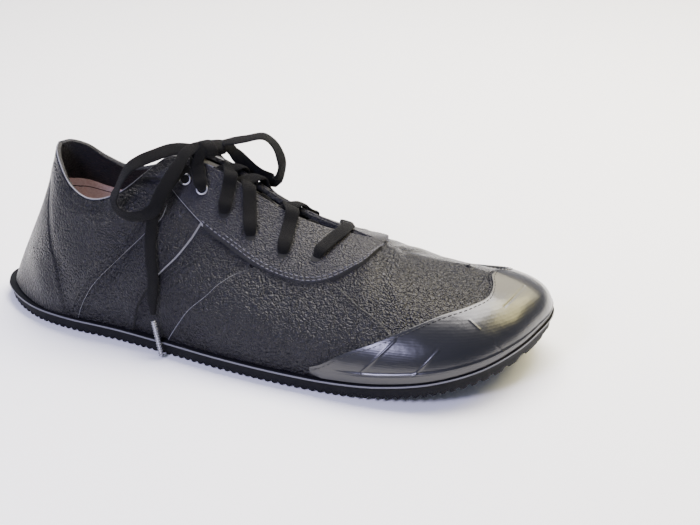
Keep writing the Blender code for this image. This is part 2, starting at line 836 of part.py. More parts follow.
def make_tube(name, points, radius, finish, target):
    curve = bpy.data.curves.new(name, "CURVE")
    curve.dimensions = "3D"
    curve.bevel_depth = radius
    curve.bevel_resolution = 2
    curve.use_fill_caps = True
    spline = curve.splines.new("POLY")
    spline.points.add(len(points) - 1)
    for place, point in zip(spline.points, points):
        place.co = (*to_frame(point), 1.0)
    curve.materials.append(finish)
    made = bpy.data.objects.new(name, curve)
    target.objects.link(made)
    return made


def scaled(rows):
    """Rows of shares as points in metres."""
    return np.asarray(rows) * np.array([LENGTH, BALL_WIDTH, COLLAR_HEIGHT])


def make_bow(finish, tip, target):
    """The knot, its two loops, and the lace's two free ends with their tips."""
    radius = CORD_DIAMETER / 2
    spacing = CORD_SPACING * CORD_DIAMETER
    make_tube("lace_knot", scaled(KNOT_LINE), KNOT_RADIUS, finish, target)
    make_tube("lace_loop_outer", smooth_line(scaled(LOOP_OUTER), spacing), radius, finish, target)
    make_tube("lace_loop_inner", smooth_line(scaled(LOOP_INNER), spacing), radius, finish, target)
    for side, label in ((-1, "outer"), (1, "inner")):
        route = [off_upper(side, share, rib, distance) for share, rib, distance in LOOSE_END]
        make_tube(f"lace_end_{label}", smooth_line(route, spacing), radius, finish, target)
        share, beyond, height = AGLET_FOOT
        foot = np.array([*EDGE.at(side, share, -beyond)[0], height])
        ends = [off_upper(side, *AGLET_TOP), foot]
        make_tube(f"aglet_{label}", ends, AGLET_DIAMETER / 2, tip, target)


def build():
    clear_scene()
    leather = material("black_leather", (0.028, 0.028, 0.031), 0.5)
    smooth_leather = material("black_smooth_leather", (0.033, 0.033, 0.036), 0.45)
    rubber = material("black_rubber", (0.020, 0.020, 0.022), 0.6)
    cap_rubber = material("glossy_rubber", (0.018, 0.018, 0.021), 0.3)
    insole_leather = material("tan_leather", (0.62, 0.44, 0.36), 0.7)
    lace = material("woven_lace", (0.022, 0.022, 0.024), 0.75)
    metal = material("nickel_eyelet", (0.62, 0.62, 0.63), 0.3, 1.0)
    tip = material("plastic_tip", (0.35, 0.35, 0.36), 0.35)
    parts = collection("shoe")
    cutters = collection("cutters")
    cutters.hide_render = True
    make_outsole(rubber, parts, cutters)
    make_insole(insole_leather, parts)
    make_upper(leather, parts)
    make_toe_cap(cap_rubber, parts)
    make_heel_quarter(leather, parts)
    make_eyestay(smooth_leather, parts)
    make_tongue(smooth_leather, parts)
    for name, share, rib, meets, lift in HOLES:
        make_crossing(f"lace_{name}", share, rib, meets, lift, lace, parts)
    for name, share, rib in METAL_HOLES:
        for side in (-1, 1):
            make_eyelet(name, side, share, rib, metal, parts)
    make_bow(lace, tip, parts)


build()
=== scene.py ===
"""Looks of the black leather lace-up shoe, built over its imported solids.

Metres, +X towards the toes, -Y the outer side of the foot, +Z up.
"""
import math

import bmesh
import bpy
import numpy as np
from mathutils import Matrix, Vector


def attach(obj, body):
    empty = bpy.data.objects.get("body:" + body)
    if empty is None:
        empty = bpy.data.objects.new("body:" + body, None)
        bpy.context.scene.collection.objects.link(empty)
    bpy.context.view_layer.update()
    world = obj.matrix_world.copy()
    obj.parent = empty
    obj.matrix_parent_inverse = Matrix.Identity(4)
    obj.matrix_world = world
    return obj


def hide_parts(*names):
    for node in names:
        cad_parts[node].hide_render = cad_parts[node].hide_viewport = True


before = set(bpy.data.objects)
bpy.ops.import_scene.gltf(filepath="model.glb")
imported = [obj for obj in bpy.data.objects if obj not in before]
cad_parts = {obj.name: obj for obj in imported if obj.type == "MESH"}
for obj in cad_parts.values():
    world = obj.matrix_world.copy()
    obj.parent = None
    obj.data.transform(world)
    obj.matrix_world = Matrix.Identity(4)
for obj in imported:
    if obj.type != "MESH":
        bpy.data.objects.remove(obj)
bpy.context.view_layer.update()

# The view: a camera a little above and in front of the shoe's outer side, over a flat matt sheet of
# white paper. A broad soft light overhead and a weaker one behind shine on the top, and two small
# tinted ones light the side and the toe.
VIEW_TURN = math.radians(20.3)
VIEW_RISE = math.radians(24.3)
VIEW_DISTANCE = 0.648
VIEW_TARGET = Vector((0.0498, -0.0099, 0.0464))
LENS = 72.0
SENSOR = 36.0
FLOOR_REACH = 3.0
SKY_STRENGTH = 0.48
LIGHTS = (
    # name, place, what it points at, width, height, power, colour
    ("overhead", (0.05, 0.40, 0.95), (0.02, 0.0, 0.05), 0.9, 0.6, 32.0, "#fffaf8"),
    ("behind", (0.15, 1.00, 0.72), (0.05, 0.0, 0.05), 1.3, 0.4, 10.0, "#fdf1d0"),
    ("cool_front", (-0.22, -0.95, 0.75), (0.0, 0.0, 0.04), 0.28, 0.28, 15.0, "#d4d2ff"),
    ("warm_toe", (0.55, 0.42, 0.62), (0.11, 0.0, 0.03), 0.45, 0.35, 6.0, "#fff0a8"),
)


def linear(code, alpha=1.0):
    """An sRGB hex colour as linear values."""
    values = [int(code[i : i + 2], 16) / 255 for i in (1, 3, 5)]
    return (*[v / 12.92 if v <= 0.04045 else ((v + 0.055) / 1.055) ** 2.4 for v in values], alpha)


def new_material(name, colour, roughness, **sockets):
    """A Principled material with constants on its own sockets. Returns it, its tree and its shader."""
    made = bpy.data.materials.new(name)
    made.use_nodes = True
    shader = made.node_tree.nodes["Principled BSDF"]
    shader.inputs["Base Color"].default_value = linear(colour)
    shader.inputs["Roughness"].default_value = roughness
    for socket, value in sockets.items():
        shader.inputs[socket.replace("_", " ")].default_value = value
    return made, made.node_tree, shader


def place_camera():
    flat = math.cos(VIEW_RISE)
    back = Vector((math.sin(VIEW_TURN) * flat, -math.cos(VIEW_TURN) * flat, math.sin(VIEW_RISE)))
    right = Vector((math.cos(VIEW_TURN), math.sin(VIEW_TURN), 0.0))
    data = bpy.data.cameras.new("view")
    data.lens = LENS
    data.sensor_width = SENSOR
    camera = bpy.data.objects.new("view", data)
    bpy.context.scene.collection.objects.link(camera)
    turn = Matrix((right, back.cross(right), back)).transposed().to_4x4()
    camera.matrix_world = Matrix.Translation(VIEW_TARGET + back * VIEW_DISTANCE) @ turn
    bpy.context.scene.camera = camera


def area_light(name, place, target, width, height, power, colour):
    data = bpy.data.lights.new(name, "AREA")
    data.color = linear(colour)[:3]
    data.shape = "RECTANGLE"
    data.size = width
    data.size_y = height
    data.energy = power
    light = bpy.data.objects.new(name, data)
    light.location = place
    light.rotation_euler = (Vector(target) - Vector(place)).to_track_quat("-Z", "Y").to_euler()
    bpy.context.scene.collection.objects.link(light)


def make_studio():
    """The floor, the sky's even light and the lamps."""
    mesh = bpy.data.meshes.new("floor")
    corners = [(x * FLOOR_REACH, y * FLOOR_REACH, 0.0) for x, y in ((-1, -1), (1, -1), (1, 1), (-1, 1))]
    mesh.from_pydata(corners, [], [(0, 1, 2, 3)])
    floor = bpy.data.objects.new("floor", mesh)
    bpy.context.scene.collection.objects.link(floor)
    # Matt white paper: bright and even, with no reflection, so only the soft shadow shows on it.
    mesh.materials.append(new_material("matt_white_paper", "#fdfdff", 0.9)[0])
    world = bpy.data.worlds.new("studio")
    world.use_nodes = True
    sky = world.node_tree.nodes["Background"]
    sky.inputs["Color"].default_value = linear("#dfe7ff")
    sky.inputs["Strength"].default_value = SKY_STRENGTH
    bpy.context.scene.world = world
    for light in LIGHTS:
        area_light(*light)


place_camera()
make_studio()

# The upper: vamp and quarters of black full-grain cowhide about 1.4 mm thick, backed by a leather
# lining, pulled over a last and stitched down to the sole. This section gives its form, as a point
# for each place round the sole's edge and each height from the sole to the top line.
LENGTH = 0.2803
BALL_WIDTH = 0.106
HEEL_WIDTH = 0.072
COLLAR_HEIGHT = 0.081
INSTEP_HEIGHT = 0.068
TOE_BOX_HEIGHT = 0.046
TOE_SPRING = 0.016
HEEL_LIFT = 0.0004
TOE_SPRING_REACH = 0.34
HEEL_LIFT_REACH = 0.10
PAST_TOE = 1.1
PAST_HEEL = 1.2
SOLE_THICKNESS = 0.0076
CLEARANCE = 0.0003
WALL = 0.0020
FEATHER_INSET = 0.0020
FEATHER_INSET_HEEL = 0.0048
HEEL_REACH = 0.16
OUTLINE_STEPS = 24
OUTLINE_EVENNESS = 0.6
# Steps by which a direction over the face is measured, and the highest rib for it at the toe's end.
NORMAL_STEP = 0.004
NORMAL_RIB_STEP = 0.01
TOE_NORMAL_RIB = 0.96
OUTLINE = (
    # along, outer, inner
    (0.015, -0.160, 0.170),
    (0.045, -0.285, 0.300),
    (0.075, -0.372, 0.385),
    (0.120, -0.462, 0.455),
    (0.188, -0.525, 0.479),
    (0.290, -0.560, 0.455),
    (0.392, -0.576, 0.410),
    (0.495, -0.542, 0.402),
    (0.598, -0.510, 0.432),
    (0.700, -0.510, 0.490),
    (0.782, -0.505, 0.495),
    (0.868, -0.460, 0.462),
    (0.932, -0.355, 0.412),
    (0.972, -0.195, 0.330),
    (0.991, -0.040, 0.245),
)
TOE_TIP_OFFSET = 0.115
WIDENING = (0.30, 0.65)
TOP_LINE = (
    # station, along, outer, inner, outer height, inner height
    (0.00, 0.110, 0.025, 0.025, 1.005, 1.005),
    (0.05, 0.122, -0.050, 0.085, 0.990, 1.000),
    (0.10, 0.144, -0.118, 0.135, 0.930, 0.960),
    (0.16, 0.173, -0.165, 0.172, 0.832, 0.880),
    (0.23, 0.220, -0.195, 0.190, 0.786, 0.820),
    (0.30, 0.274, -0.178, 0.180, 0.855, 0.865),
    (0.36, 0.313, -0.115, 0.142, 0.968, 0.950),
    (0.41, 0.342, -0.066, 0.105, 1.045, 1.025),
    (0.47, 0.377, -0.045, 0.068, 1.048, 1.045),
    (0.54, 0.422, -0.036, 0.056, 1.008, 1.014),
    (0.69, 0.494, -0.022, 0.055, 0.882, 0.880),
    (0.80, 0.558, -0.013, 0.054, 0.770, 0.776),
    (0.92, 0.636, 0.012, 0.054, 0.688, 0.692),
    (1.00, 0.698, 0.040, 0.040, 0.648, 0.648),
)
THROAT_TIP_SHARE = 0.660
RIBS = {
    # share, station, low_out, low_up, high_out, high_up
    -1: (
        (0.000, 0.00, -0.140, 0.36, 0.03, -0.38),
        (0.100, 0.08, -0.090, 0.36, 0.05, -0.36),
        (0.225, 0.23, 0.060, 0.30, 0.12, -0.28),
        (0.280, 0.31, 0.065, 0.32, 0.15, -0.28),
        (0.360, 0.46, 0.065, 0.36, 0.22, -0.34),
        (0.470, 0.70, 0.065, 0.36, 0.26, -0.24),
        (0.605, 0.92, 0.065, 0.36, 0.32, -0.08),
        (0.660, 1.00, 0.065, 0.35, 0.34, 0.03),
        (0.820, 1.00, 0.055, 0.28, 0.32, 0.02),
        (1.000, 1.00, 0.030, 0.20, 0.32, -0.06),
    ),
    1: (
        (0.000, 0.00, -0.140, 0.36, 0.03, -0.38),
        (0.100, 0.08, -0.090, 0.36, 0.05, -0.36),
        (0.225, 0.23, 0.050, 0.32, 0.12, -0.28),
        (0.280, 0.31, 0.050, 0.34, 0.15, -0.28),
        (0.360, 0.46, 0.040, 0.40, 0.22, -0.34),
        (0.470, 0.70, 0.040, 0.42, 0.26, -0.26),
        (0.605, 0.92, 0.050, 0.42, 0.30, -0.12),
        (0.660, 1.00, 0.055, 0.36, 0.30, -0.06),
        (0.820, 1.00, 0.045, 0.22, 0.28, -0.10),
        (1.000, 1.00, 0.030, 0.20, 0.32, -0.06),
    ),
}
RIDGE = (
    # share, along, side as a share of BALL_WIDTH, height as a share of TOE_BOX_HEIGHT
    (0.660, 0.698, 0.040, 1.141),
    (0.740, 0.748, 0.060, 1.060),
    (0.840, 0.800, 0.080, 1.000),
    (1.000, 0.858, 0.110, 0.950),
)


def hermite(keys, values, at):
    """Smooth curve through the rows of a table, read at one or many keys."""
    keys = np.asarray(keys, float)
    values = np.asarray(values, float)
    slopes = np.gradient(values, keys, axis=0)
    at = np.clip(np.asarray(at, float), keys[0], keys[-1])
    row = np.clip(np.searchsorted(keys, at, side="right") - 1, 0, len(keys) - 2)
    width = keys[row + 1] - keys[row]
    t = (at - keys[row]) / width
    if values.ndim > 1:
        t = t[..., None]
        width = width[..., None]
    first = (2 * t**3 - 3 * t**2 + 1) * values[row] + (t**3 - 2 * t**2 + t) * width * slopes[row]
    second = (3 * t**2 - 2 * t**3) * values[row + 1] + (t**3 - t**2) * width * slopes[row + 1]
    return first + second


def table(rows, at):
    """All columns after the first, read at a value of the first."""
    rows = np.asarray(rows, float)
    return hermite(rows[:, 0], rows[:, 1:], at)


def local_width(along):
    """Width of the sole there, from the heel's to the ball's."""
    t = np.clip((along - WIDENING[0]) / (WIDENING[1] - WIDENING[0]), 0, 1)
    return HEEL_WIDTH + (BALL_WIDTH - HEEL_WIDTH) * t * t * (3 - 2 * t)


def spring(x):
    """Height of the sole's underside over the floor, at a distance from the heel."""
    toe = np.clip((x / LENGTH - 1 + TOE_SPRING_REACH) / TOE_SPRING_REACH, 0, PAST_TOE)
    heel = np.clip(1 - x / (HEEL_LIFT_REACH * LENGTH), 0, PAST_HEEL)
    return TOE_SPRING * toe**2 + HEEL_LIFT * heel**2


def distances(line):
    """How far along a line each of its points lies."""
    return np.concatenate([[0.0], np.cumsum(np.linalg.norm(np.diff(line, axis=0), axis=1))])


def read_outline():
    """The sole's edge as two sides, each with its shares, points and outward directions."""
    rows = np.asarray(OUTLINE)
    width = local_width(rows[:, 0])
    outer = np.c_[rows[:, 0] * LENGTH, rows[:, 1] * width]
    inner = np.c_[rows[:, 0] * LENGTH, rows[:, 2] * width]
    toe = [[LENGTH, TOE_TIP_OFFSET * BALL_WIDTH]]
    points = np.vstack([[[0.0, 0.0]], outer, toe, inner[::-1]])
    wrapped = np.vstack([points[-3:], points, points[:4]])
    gaps = np.linalg.norm(np.diff(wrapped, axis=0), axis=1) ** OUTLINE_EVENNESS
    keys = np.concatenate([[0.0], np.cumsum(gaps)])
    count = len(points) * OUTLINE_STEPS + 1
    loop = hermite(keys, wrapped, np.linspace(keys[3], keys[3 + len(points)], count))
    tangent = np.gradient(loop, axis=0)
    tangent[0] = tangent[-1] = loop[1] - loop[-2]
    tangent /= np.linalg.norm(tangent, axis=1)[:, None]
    outward = np.c_[tangent[:, 1], -tangent[:, 0]]
    split = (len(outer) + 1) * OUTLINE_STEPS
    sides = {}
    for side, span in ((-1, slice(0, split + 1)), (1, slice(None, split - 1, -1))):
        arc = distances(loop[span])
        sides[side] = (arc / arc[-1], loop[span], outward[span])
    return sides, (loop.min(axis=0) + loop.max(axis=0)) / 2


EDGE, MIDDLE = read_outline()
ORIGIN = np.array([*MIDDLE, 0.0])


def edge_at(side, share, inset=0.0):
    """Points of the sole's edge, moved in by an inset, and the outward directions there."""
    keys, line, out = EDGE[side]
    share = np.atleast_1d(share)
    point = np.stack([np.interp(share, keys, line[:, i]) for i in (0, 1)], axis=1)
    outward = np.stack([np.interp(share, keys, out[:, i]) for i in (0, 1)], axis=1)
    outward /= np.linalg.norm(outward, axis=1)[:, None]
    return point - outward * inset if np.isscalar(inset) else point - outward * inset[:, None], outward


def paired(share, rib):
    """A share and a rib as arrays of one shape."""
    return np.broadcast_arrays(np.atleast_1d(share).astype(float), np.atleast_1d(rib).astype(float))


def upper_point(side, share, rib):
    """Points of the upper's outer face: share from heel to toe, rib from the sole's edge upwards."""
    share, rib = paired(share, rib)
    station, low_out, low_up, high_out, high_up = table(RIBS[side], share).T
    heel = np.clip(1 - share / HEEL_REACH, 0, 1)
    base, out = edge_at(side, share, FEATHER_INSET + (FEATHER_INSET_HEEL - FEATHER_INSET) * heel)
    lean = np.maximum(0.0, -low_out) / np.hypot(low_out, low_up)
    bottom = np.c_[base, SOLE_THICKNESS + CLEARANCE + WALL * lean + spring(base[:, 0])]
    along, outer, inner, outer_height, inner_height = table(TOP_LINE, np.minimum(station, 1.0)).T
    across, height = (outer, outer_height) if side < 0 else (inner, inner_height)
    top = np.c_[along * LENGTH, across * BALL_WIDTH, height * COLLAR_HEIGHT]
    along, across, height = table(RIDGE, share).T
    ridge = np.c_[along * LENGTH, across * BALL_WIDTH, height * TOE_BOX_HEIGHT]
    top = np.where((share > THROAT_TIP_SHARE)[:, None], ridge, top)
    flat = bottom[:, :2] - top[:, :2]
    flat /= np.linalg.norm(flat, axis=1)[:, None]
    low = bottom + INSTEP_HEIGHT * np.c_[out * low_out[:, None], low_up]
    high = top + INSTEP_HEIGHT * np.c_[flat * high_out[:, None], high_up]
    s, t = (1 - rib)[:, None], rib[:, None]
    return s**3 * bottom + 3 * s * s * t * low + 3 * s * t * t * high + t**3 * top


def upper_normal(side, share, rib):
    """Outward directions of the upper's face."""
    share, rib = paired(share, rib)
    step = NORMAL_STEP
    low, high = np.maximum(share - step, 0.0), np.minimum(share + step, 1.0)
    high = np.where(share <= THROAT_TIP_SHARE, np.minimum(high, THROAT_TIP_SHARE), high)
    along = upper_point(side, high, rib) - upper_point(side, low, rib)
    at_heel = upper_point(side, share + step, rib) - upper_point(-side, share + step, rib)
    below = np.where(share >= 1 - step, np.minimum(rib, TOE_NORMAL_RIB), rib)
    at_toe = upper_point(-side, share - step, below) - upper_point(side, share - step, below)
    along = np.where((share <= step)[:, None], at_heel, along)
    along = np.where((share >= 1 - step)[:, None], at_toe, along)
    above, under = np.minimum(rib + NORMAL_RIB_STEP, 1), np.maximum(rib - NORMAL_RIB_STEP, 0)
    up = upper_point(side, share, above) - upper_point(side, share, under)
    normal = np.cross(along, up) * (1 if side < 0 else -1)
    return normal / np.linalg.norm(normal, axis=1)[:, None]


# Soft troughs and ridges of the worn leather, and the narrow groove of the heel's seam. Each runs
# through its (share, rib) places, width and depth in metres, a ridge with a depth below nought.
HEEL_SEAM = ((0.070, 0.78), (0.095, 0.68), (0.133, 0.57), (0.177, 0.41), (0.197, 0.21), (0.206, 0.03))
CREASES = (
    # side, width, depth, places
    (-1, 0.0008, 0.0007, HEEL_SEAM),
    (-1, 0.0060, 0.0006, HEEL_SEAM),
    (-1, 0.0045, 0.0011, ((0.350, 0.78), (0.322, 0.62), (0.296, 0.49), (0.272, 0.33))),
    (-1, 0.0050, -0.0008, ((0.376, 0.72), (0.352, 0.55), (0.330, 0.33), (0.318, 0.15))),
    (-1, 0.0040, 0.0009, ((0.396, 0.60), (0.372, 0.46), (0.348, 0.30), (0.336, 0.12))),
    (-1, 0.0060, -0.0006, ((0.420, 0.55), (0.392, 0.38), (0.375, 0.20))),
    (-1, 0.0045, 0.0006, ((0.445, 0.36), (0.425, 0.22), (0.410, 0.10))),
    (-1, 0.0080, 0.0008, ((0.575, 0.28), (0.610, 0.42), (0.640, 0.52))),
    (-1, 0.0060, 0.0006, ((0.520, 0.22), (0.560, 0.38), (0.585, 0.48))),
    (-1, 0.0050, 0.0007, ((0.700, 0.58), (0.705, 0.75), (0.690, 0.97))),
    (-1, 0.0060, 0.0006, ((0.760, 0.60), (0.770, 0.78), (0.750, 0.97))),
    (-1, 0.0070, -0.0006, ((0.730, 0.58), (0.738, 0.76), (0.720, 0.97))),
    (-1, 0.0050, 0.0008, ((0.235, 0.92), (0.275, 0.86), (0.310, 0.80))),
    (-1, 0.0040, -0.0006, ((0.225, 0.84), (0.270, 0.78), (0.305, 0.72))),
    (-1, 0.0080, 0.0010, ((0.215, 0.35), (0.245, 0.55), (0.285, 0.68))),
    (-1, 0.0090, -0.0008, ((0.110, 0.30), (0.150, 0.20), (0.185, 0.12))),
    (1, 0.0008, 0.0006, HEEL_SEAM),
    (1, 0.0045, 0.0009, ((0.350, 0.78), (0.322, 0.62), (0.296, 0.49), (0.272, 0.33))),
    (1, 0.0040, 0.0008, ((0.396, 0.60), (0.372, 0.46), (0.348, 0.30), (0.336, 0.12))),
    (1, 0.0080, 0.0008, ((0.575, 0.28), (0.610, 0.42), (0.640, 0.52))),
    (1, 0.0050, 0.0006, ((0.700, 0.58), (0.705, 0.75), (0.690, 0.97))),
    (1, 0.0060, 0.0006, ((0.760, 0.60), (0.770, 0.78), (0.750, 0.97))),
    (1, 0.0080, 0.0009, ((0.215, 0.35), (0.245, 0.55), (0.285, 0.68))),
)
# The run of the sole's edge from heel to toe and of the wall from sole to top line, in metres. They
# turn a share and a rib into distances over the leather.
EDGE_RUN = 0.330
RIB_RUN = 0.085


def crease_depth(side, share, rib):
    """How far the creases sink each place."""
    depth = np.zeros_like(share)
    place = np.c_[share * EDGE_RUN, rib * RIB_RUN]
    for crease_side, width, deep, places in CREASES:
        if crease_side != side:
            continue
        away = np.full(share.shape, np.inf)
        corners = np.asarray(places) * np.array([EDGE_RUN, RIB_RUN])
        for start, end in zip(corners, corners[1:]):
            run = end - start
            t = np.clip((place - start) @ run / (run @ run), 0, 1)
            away = np.minimum(away, np.linalg.norm(place - start - t[:, None] * run, axis=1))
        depth += deep * np.exp(-((away / width) ** 2))
    return depth


def skin(side, share, rib, lift=0.0):
    """Points at a height over the upper's face, in the part's frame, with its creases."""
    share, rib = paired(share, rib)
    normal = upper_normal(side, share, rib)
    on_ridge = (share >= THROAT_TIP_SHARE) & (rib > 0.9999)
    both = normal + upper_normal(-side, share, rib)
    normal = np.where(on_ridge[:, None], both / np.linalg.norm(both, axis=1)[:, None], normal)
    rise = np.asarray(lift) - crease_depth(side, share, rib)
    return upper_point(side, share, rib) + normal * np.broadcast_to(rise, share.shape)[:, None] - ORIGIN


def skin_grid(side, share, rib, lift=0.0):
    """skin() over a whole grid at once."""
    share, rib, lift = np.broadcast_arrays(share, rib, lift)
    return skin(side, share.ravel(), rib.ravel(), lift.ravel())


def edge_shares(before, after):
    """Shares from heel to toe, with so many up to the throat's tip and so many past it."""
    return np.r_[np.linspace(0.0, THROAT_TIP_SHARE, before), np.linspace(THROAT_TIP_SHARE, 1.0, after)[1:]]


def round_shoe(shares):
    """Each side with its shares, for one run along the outer side and back along the inner one."""
    return (-1, shares), (1, shares[::-1][1:])


def grid_faces(rows, width, start=0, flip=False):
    """Quads over a grid of points that begins at a given point."""
    i, j = np.meshgrid(np.arange(rows - 1), np.arange(width - 1), indexing="ij")
    a = (start + i * width + j).ravel()
    quads = np.stack([a, a + 1, a + width + 1, a + width], axis=1)
    return (quads[:, ::-1] if flip else quads).tolist()


def add_piece(name, points, faces, materials, finish_of=None, replaces=(), merge=1e-6):
    """A finished mesh piece: doubles merged, smooth, riding on the shoe."""
    mesh = bpy.data.meshes.new(name)
    mesh.from_pydata(np.asarray(points).tolist(), [], faces)
    for material in materials:
        mesh.materials.append(material)
    if finish_of is not None:
        mesh.polygons.foreach_set("material_index", np.asarray(finish_of, np.int32))
    work = bmesh.new()
    work.from_mesh(mesh)
    if merge:
        bmesh.ops.remove_doubles(work, verts=work.verts, dist=merge)
    work.to_mesh(mesh)
    work.free()
    mesh.shade_smooth()
    made = bpy.data.objects.new(name, mesh)
    bpy.context.scene.collection.objects.link(made)
    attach(made, "root")
    if replaces:
        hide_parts(*replaces)
    return made


INSIDE = Vector((-0.014, 0.0, 0.030))


def turn_out(made):
    """Turns an open skin's faces away from the inside of the shoe."""
    lean = sum(f.normal.dot(f.center - INSIDE) * f.area for f in made.data.polygons)
    if lean < 0:
        made.data.flip_normals()
    return made


def add_node(tree, kind, settings=None, links=None):
    """A node with its settings, by attribute or by socket, and its incoming links."""
    made = tree.nodes.new(kind)
    for name, value in (settings or {}).items():
        if isinstance(name, str) and hasattr(made, name):
            setattr(made, name, value)
        else:
            made.inputs[name].default_value = value
    for name, source in (links or {}).items():
        tree.links.new(source, made.inputs[name])
    return made


def grained_leather(name, colour, high_colour, roughness, grain, depth):
    """Full-grain cowhide, drum dyed and lightly waxed: a pebbled grain that glints on its tops.

    grain is how many pebbles lie in a metre. They are bent a little out of true, their pores are a
    quarter as wide, and tone and gloss drift over some 26 mm.
    """
    made, tree, shader = new_material(name, colour, roughness, Specular_IOR_Level=0.28)
    place = add_node(tree, "ShaderNodeTexCoord").outputs["Object"]
    bend = add_node(tree, "ShaderNodeTexNoise", {"Scale": grain * 0.6, "Detail": 2.0}, {"Vector": place})
    mixed = add_node(tree, "ShaderNodeMixRGB", {"blend_type": "LINEAR_LIGHT", "Fac": 0.0012},
                     {"Color1": place, "Color2": bend.outputs["Color"]})
    pebbles = add_node(tree, "ShaderNodeTexVoronoi",
                       {"feature": "SMOOTH_F1", "Scale": grain, "Smoothness": 0.35},
                       {"Vector": mixed.outputs["Color"]})
    pores = add_node(tree, "ShaderNodeTexNoise", {"Scale": grain * 4.0, "Detail": 3.0}, {"Vector": place})
    dome = add_node(tree, "ShaderNodeMath", {"operation": "MULTIPLY"},
                    {0: pebbles.outputs["Distance"], 1: pebbles.outputs["Distance"]})
    fine = add_node(tree, "ShaderNodeMath", {"operation": "MULTIPLY", 1: 0.18}, {0: pores.outputs["Fac"]})
    height = add_node(tree, "ShaderNodeMath", {"operation": "MULTIPLY_ADD", 1: -1.5},
                      {0: dome.outputs[0], 2: fine.outputs[0]})
    bump = add_node(tree, "ShaderNodeBump", {"Strength": 1.0, "Distance": depth},
                    {"Height": height.outputs[0]})
    tree.links.new(bump.outputs[0], shader.inputs["Normal"])
    clouds = add_node(tree, "ShaderNodeTexNoise", {"Scale": 38.0, "Detail": 4.0}, {"Vector": place})
    tone = add_node(tree, "ShaderNodeMixRGB", {"Color1": linear(colour), "Color2": linear(high_colour)},
                    {"Fac": clouds.outputs["Fac"]})
    tree.links.new(tone.outputs[0], shader.inputs["Base Color"])
    between = {"From Min": 0.35, "From Max": 0.65, "To Min": roughness - 0.06, "To Max": roughness + 0.08}
    gloss = add_node(tree, "ShaderNodeMapRange", between, {"Value": clouds.outputs["Fac"]})
    tree.links.new(gloss.outputs[0], shader.inputs["Roughness"])
    return made


# Pebbles in a metre: those of this hide are about a millimetre across.
GRAIN = 980.0
COWHIDE = grained_leather("pebbled_cowhide", "#08070c", "#111017", 0.31, GRAIN, 0.00060)


def make_vamp():
    """The base of the upper, from the sole to the top line all the way round."""
    shares = edge_shares(before=190, after=90)
    ribs = np.linspace(0.0, 1.0, 72)
    points = [skin_grid(side, order[:, None], ribs) for side, order in round_shoe(shares)]
    faces = grid_faces(2 * len(shares) - 1, len(ribs))
    made = add_piece("vamp_and_quarters", np.vstack(points), faces, [COWHIDE],
                     replaces=["upper"])
    return turn_out(made)


make_vamp()

# The lining: a black leather facing round the collar, then undyed pinkish-tan pigskin below it.
# It is stitched to the upper along the collar, where both leathers' cut edges show, and glued down.
FACING = grained_leather("black_lining_leather", "#0c0c10", "#17171c", 0.6, GRAIN, 0.0003)
# A cut leather edge: pale, fibrous and dull.
CUT_EDGE = new_material("cut_leather_edge", "#77777c", 0.8)[0]
# The ribs at which the black facing and its seam start, and how far in from the sole's edge the
# lining's margin reaches under the footbed.
FACING_FROM = 0.725
FACING_THICKNESS = 0.0004
SEAM_FROM = 0.665
TURNED_IN = 0.0130
TAN_ROWS = 18
SEAM_ROWS = 4
FACING_ROWS = 12
COLLAR_EDGE = (
    # height over the upper's face and over the top line, from the outside to the inside
    (0.0, 0.0),
    (0.0002, 0.0004),
    (-0.0004, 0.0007),
    (-0.0012, 0.0005),
    (-WALL, 0.0),
)
# The outer rows of the collar's edge are pale, as far forward from the heel as this share.
PALE_ROWS = 2
PALE_UP_TO = 0.40


def pigskin():
    """Undyed pigskin with no finish: dull pinkish tan with a fine nap, in flecks of about 1 mm."""
    made, tree, shader = new_material("undyed_pigskin", "#d0b2a6", 0.8)
    place = add_node(tree, "ShaderNodeTexCoord").outputs["Object"]
    fleck = add_node(tree, "ShaderNodeTexNoise", {"Scale": 900.0, "Detail": 4.0}, {"Vector": place})
    tone = add_node(tree, "ShaderNodeMixRGB", {"Color1": linear("#a88f8a"), "Color2": linear("#ddcecb")},
                    {"Fac": fleck.outputs["Fac"]})
    tree.links.new(tone.outputs[0], shader.inputs["Base Color"])
    bump = add_node(tree, "ShaderNodeBump", {"Strength": 0.6, "Distance": 0.0002},
                    {"Height": fleck.outputs["Fac"]})
    tree.links.new(bump.outputs[0], shader.inputs["Normal"])
    return made


LINING_TAN = pigskin()


def make_lining():
    """The wall's inner face, from a margin turned in under the footbed up to the top line."""
    shares = edge_shares(before=90, after=40)
    ribs = np.r_[
        np.linspace(0.03, SEAM_FROM - 0.008, TAN_ROWS),
        np.linspace(SEAM_FROM, FACING_FROM, SEAM_ROWS),
        np.linspace(FACING_FROM + 0.004, 1.0, FACING_ROWS),
    ]
    inwards = WALL - np.where(ribs > FACING_FROM, 0.0, FACING_THICKNESS)
    points = []
    for side, order in round_shoe(shares):
        wall = skin_grid(side, order[:, None], ribs, -inwards).reshape(-1, len(ribs), 3)
        turned, _ = edge_at(side, order, TURNED_IN)
        margin = np.c_[turned - MIDDLE, SOLE_THICKNESS + 2 * CLEARANCE + spring(turned[:, 0])]
        points.append(np.concatenate([margin[:, None], wall], axis=1).reshape(-1, 3))
    rings = 2 * len(shares) - 1
    rows = np.arange(len(ribs))
    black = (rows >= TAN_ROWS + SEAM_ROWS) | (rows == TAN_ROWS)
    made = add_piece("lining", np.vstack(points), grid_faces(rings, len(ribs) + 1), [LINING_TAN, FACING],
                     np.tile(black.astype(int), rings - 1))
    turn_out(made).data.flip_normals()
    return made


def normals_out(made, shortest=None):
    """Recalculates a piece's normals, after taking out any edges under a length."""
    work = bmesh.new()
    work.from_mesh(made.data)
    if shortest:
        bmesh.ops.dissolve_degenerate(work, edges=work.edges, dist=shortest)
    bmesh.ops.recalc_face_normals(work, faces=work.faces)
    work.to_mesh(made.data)
    work.free()
    return made


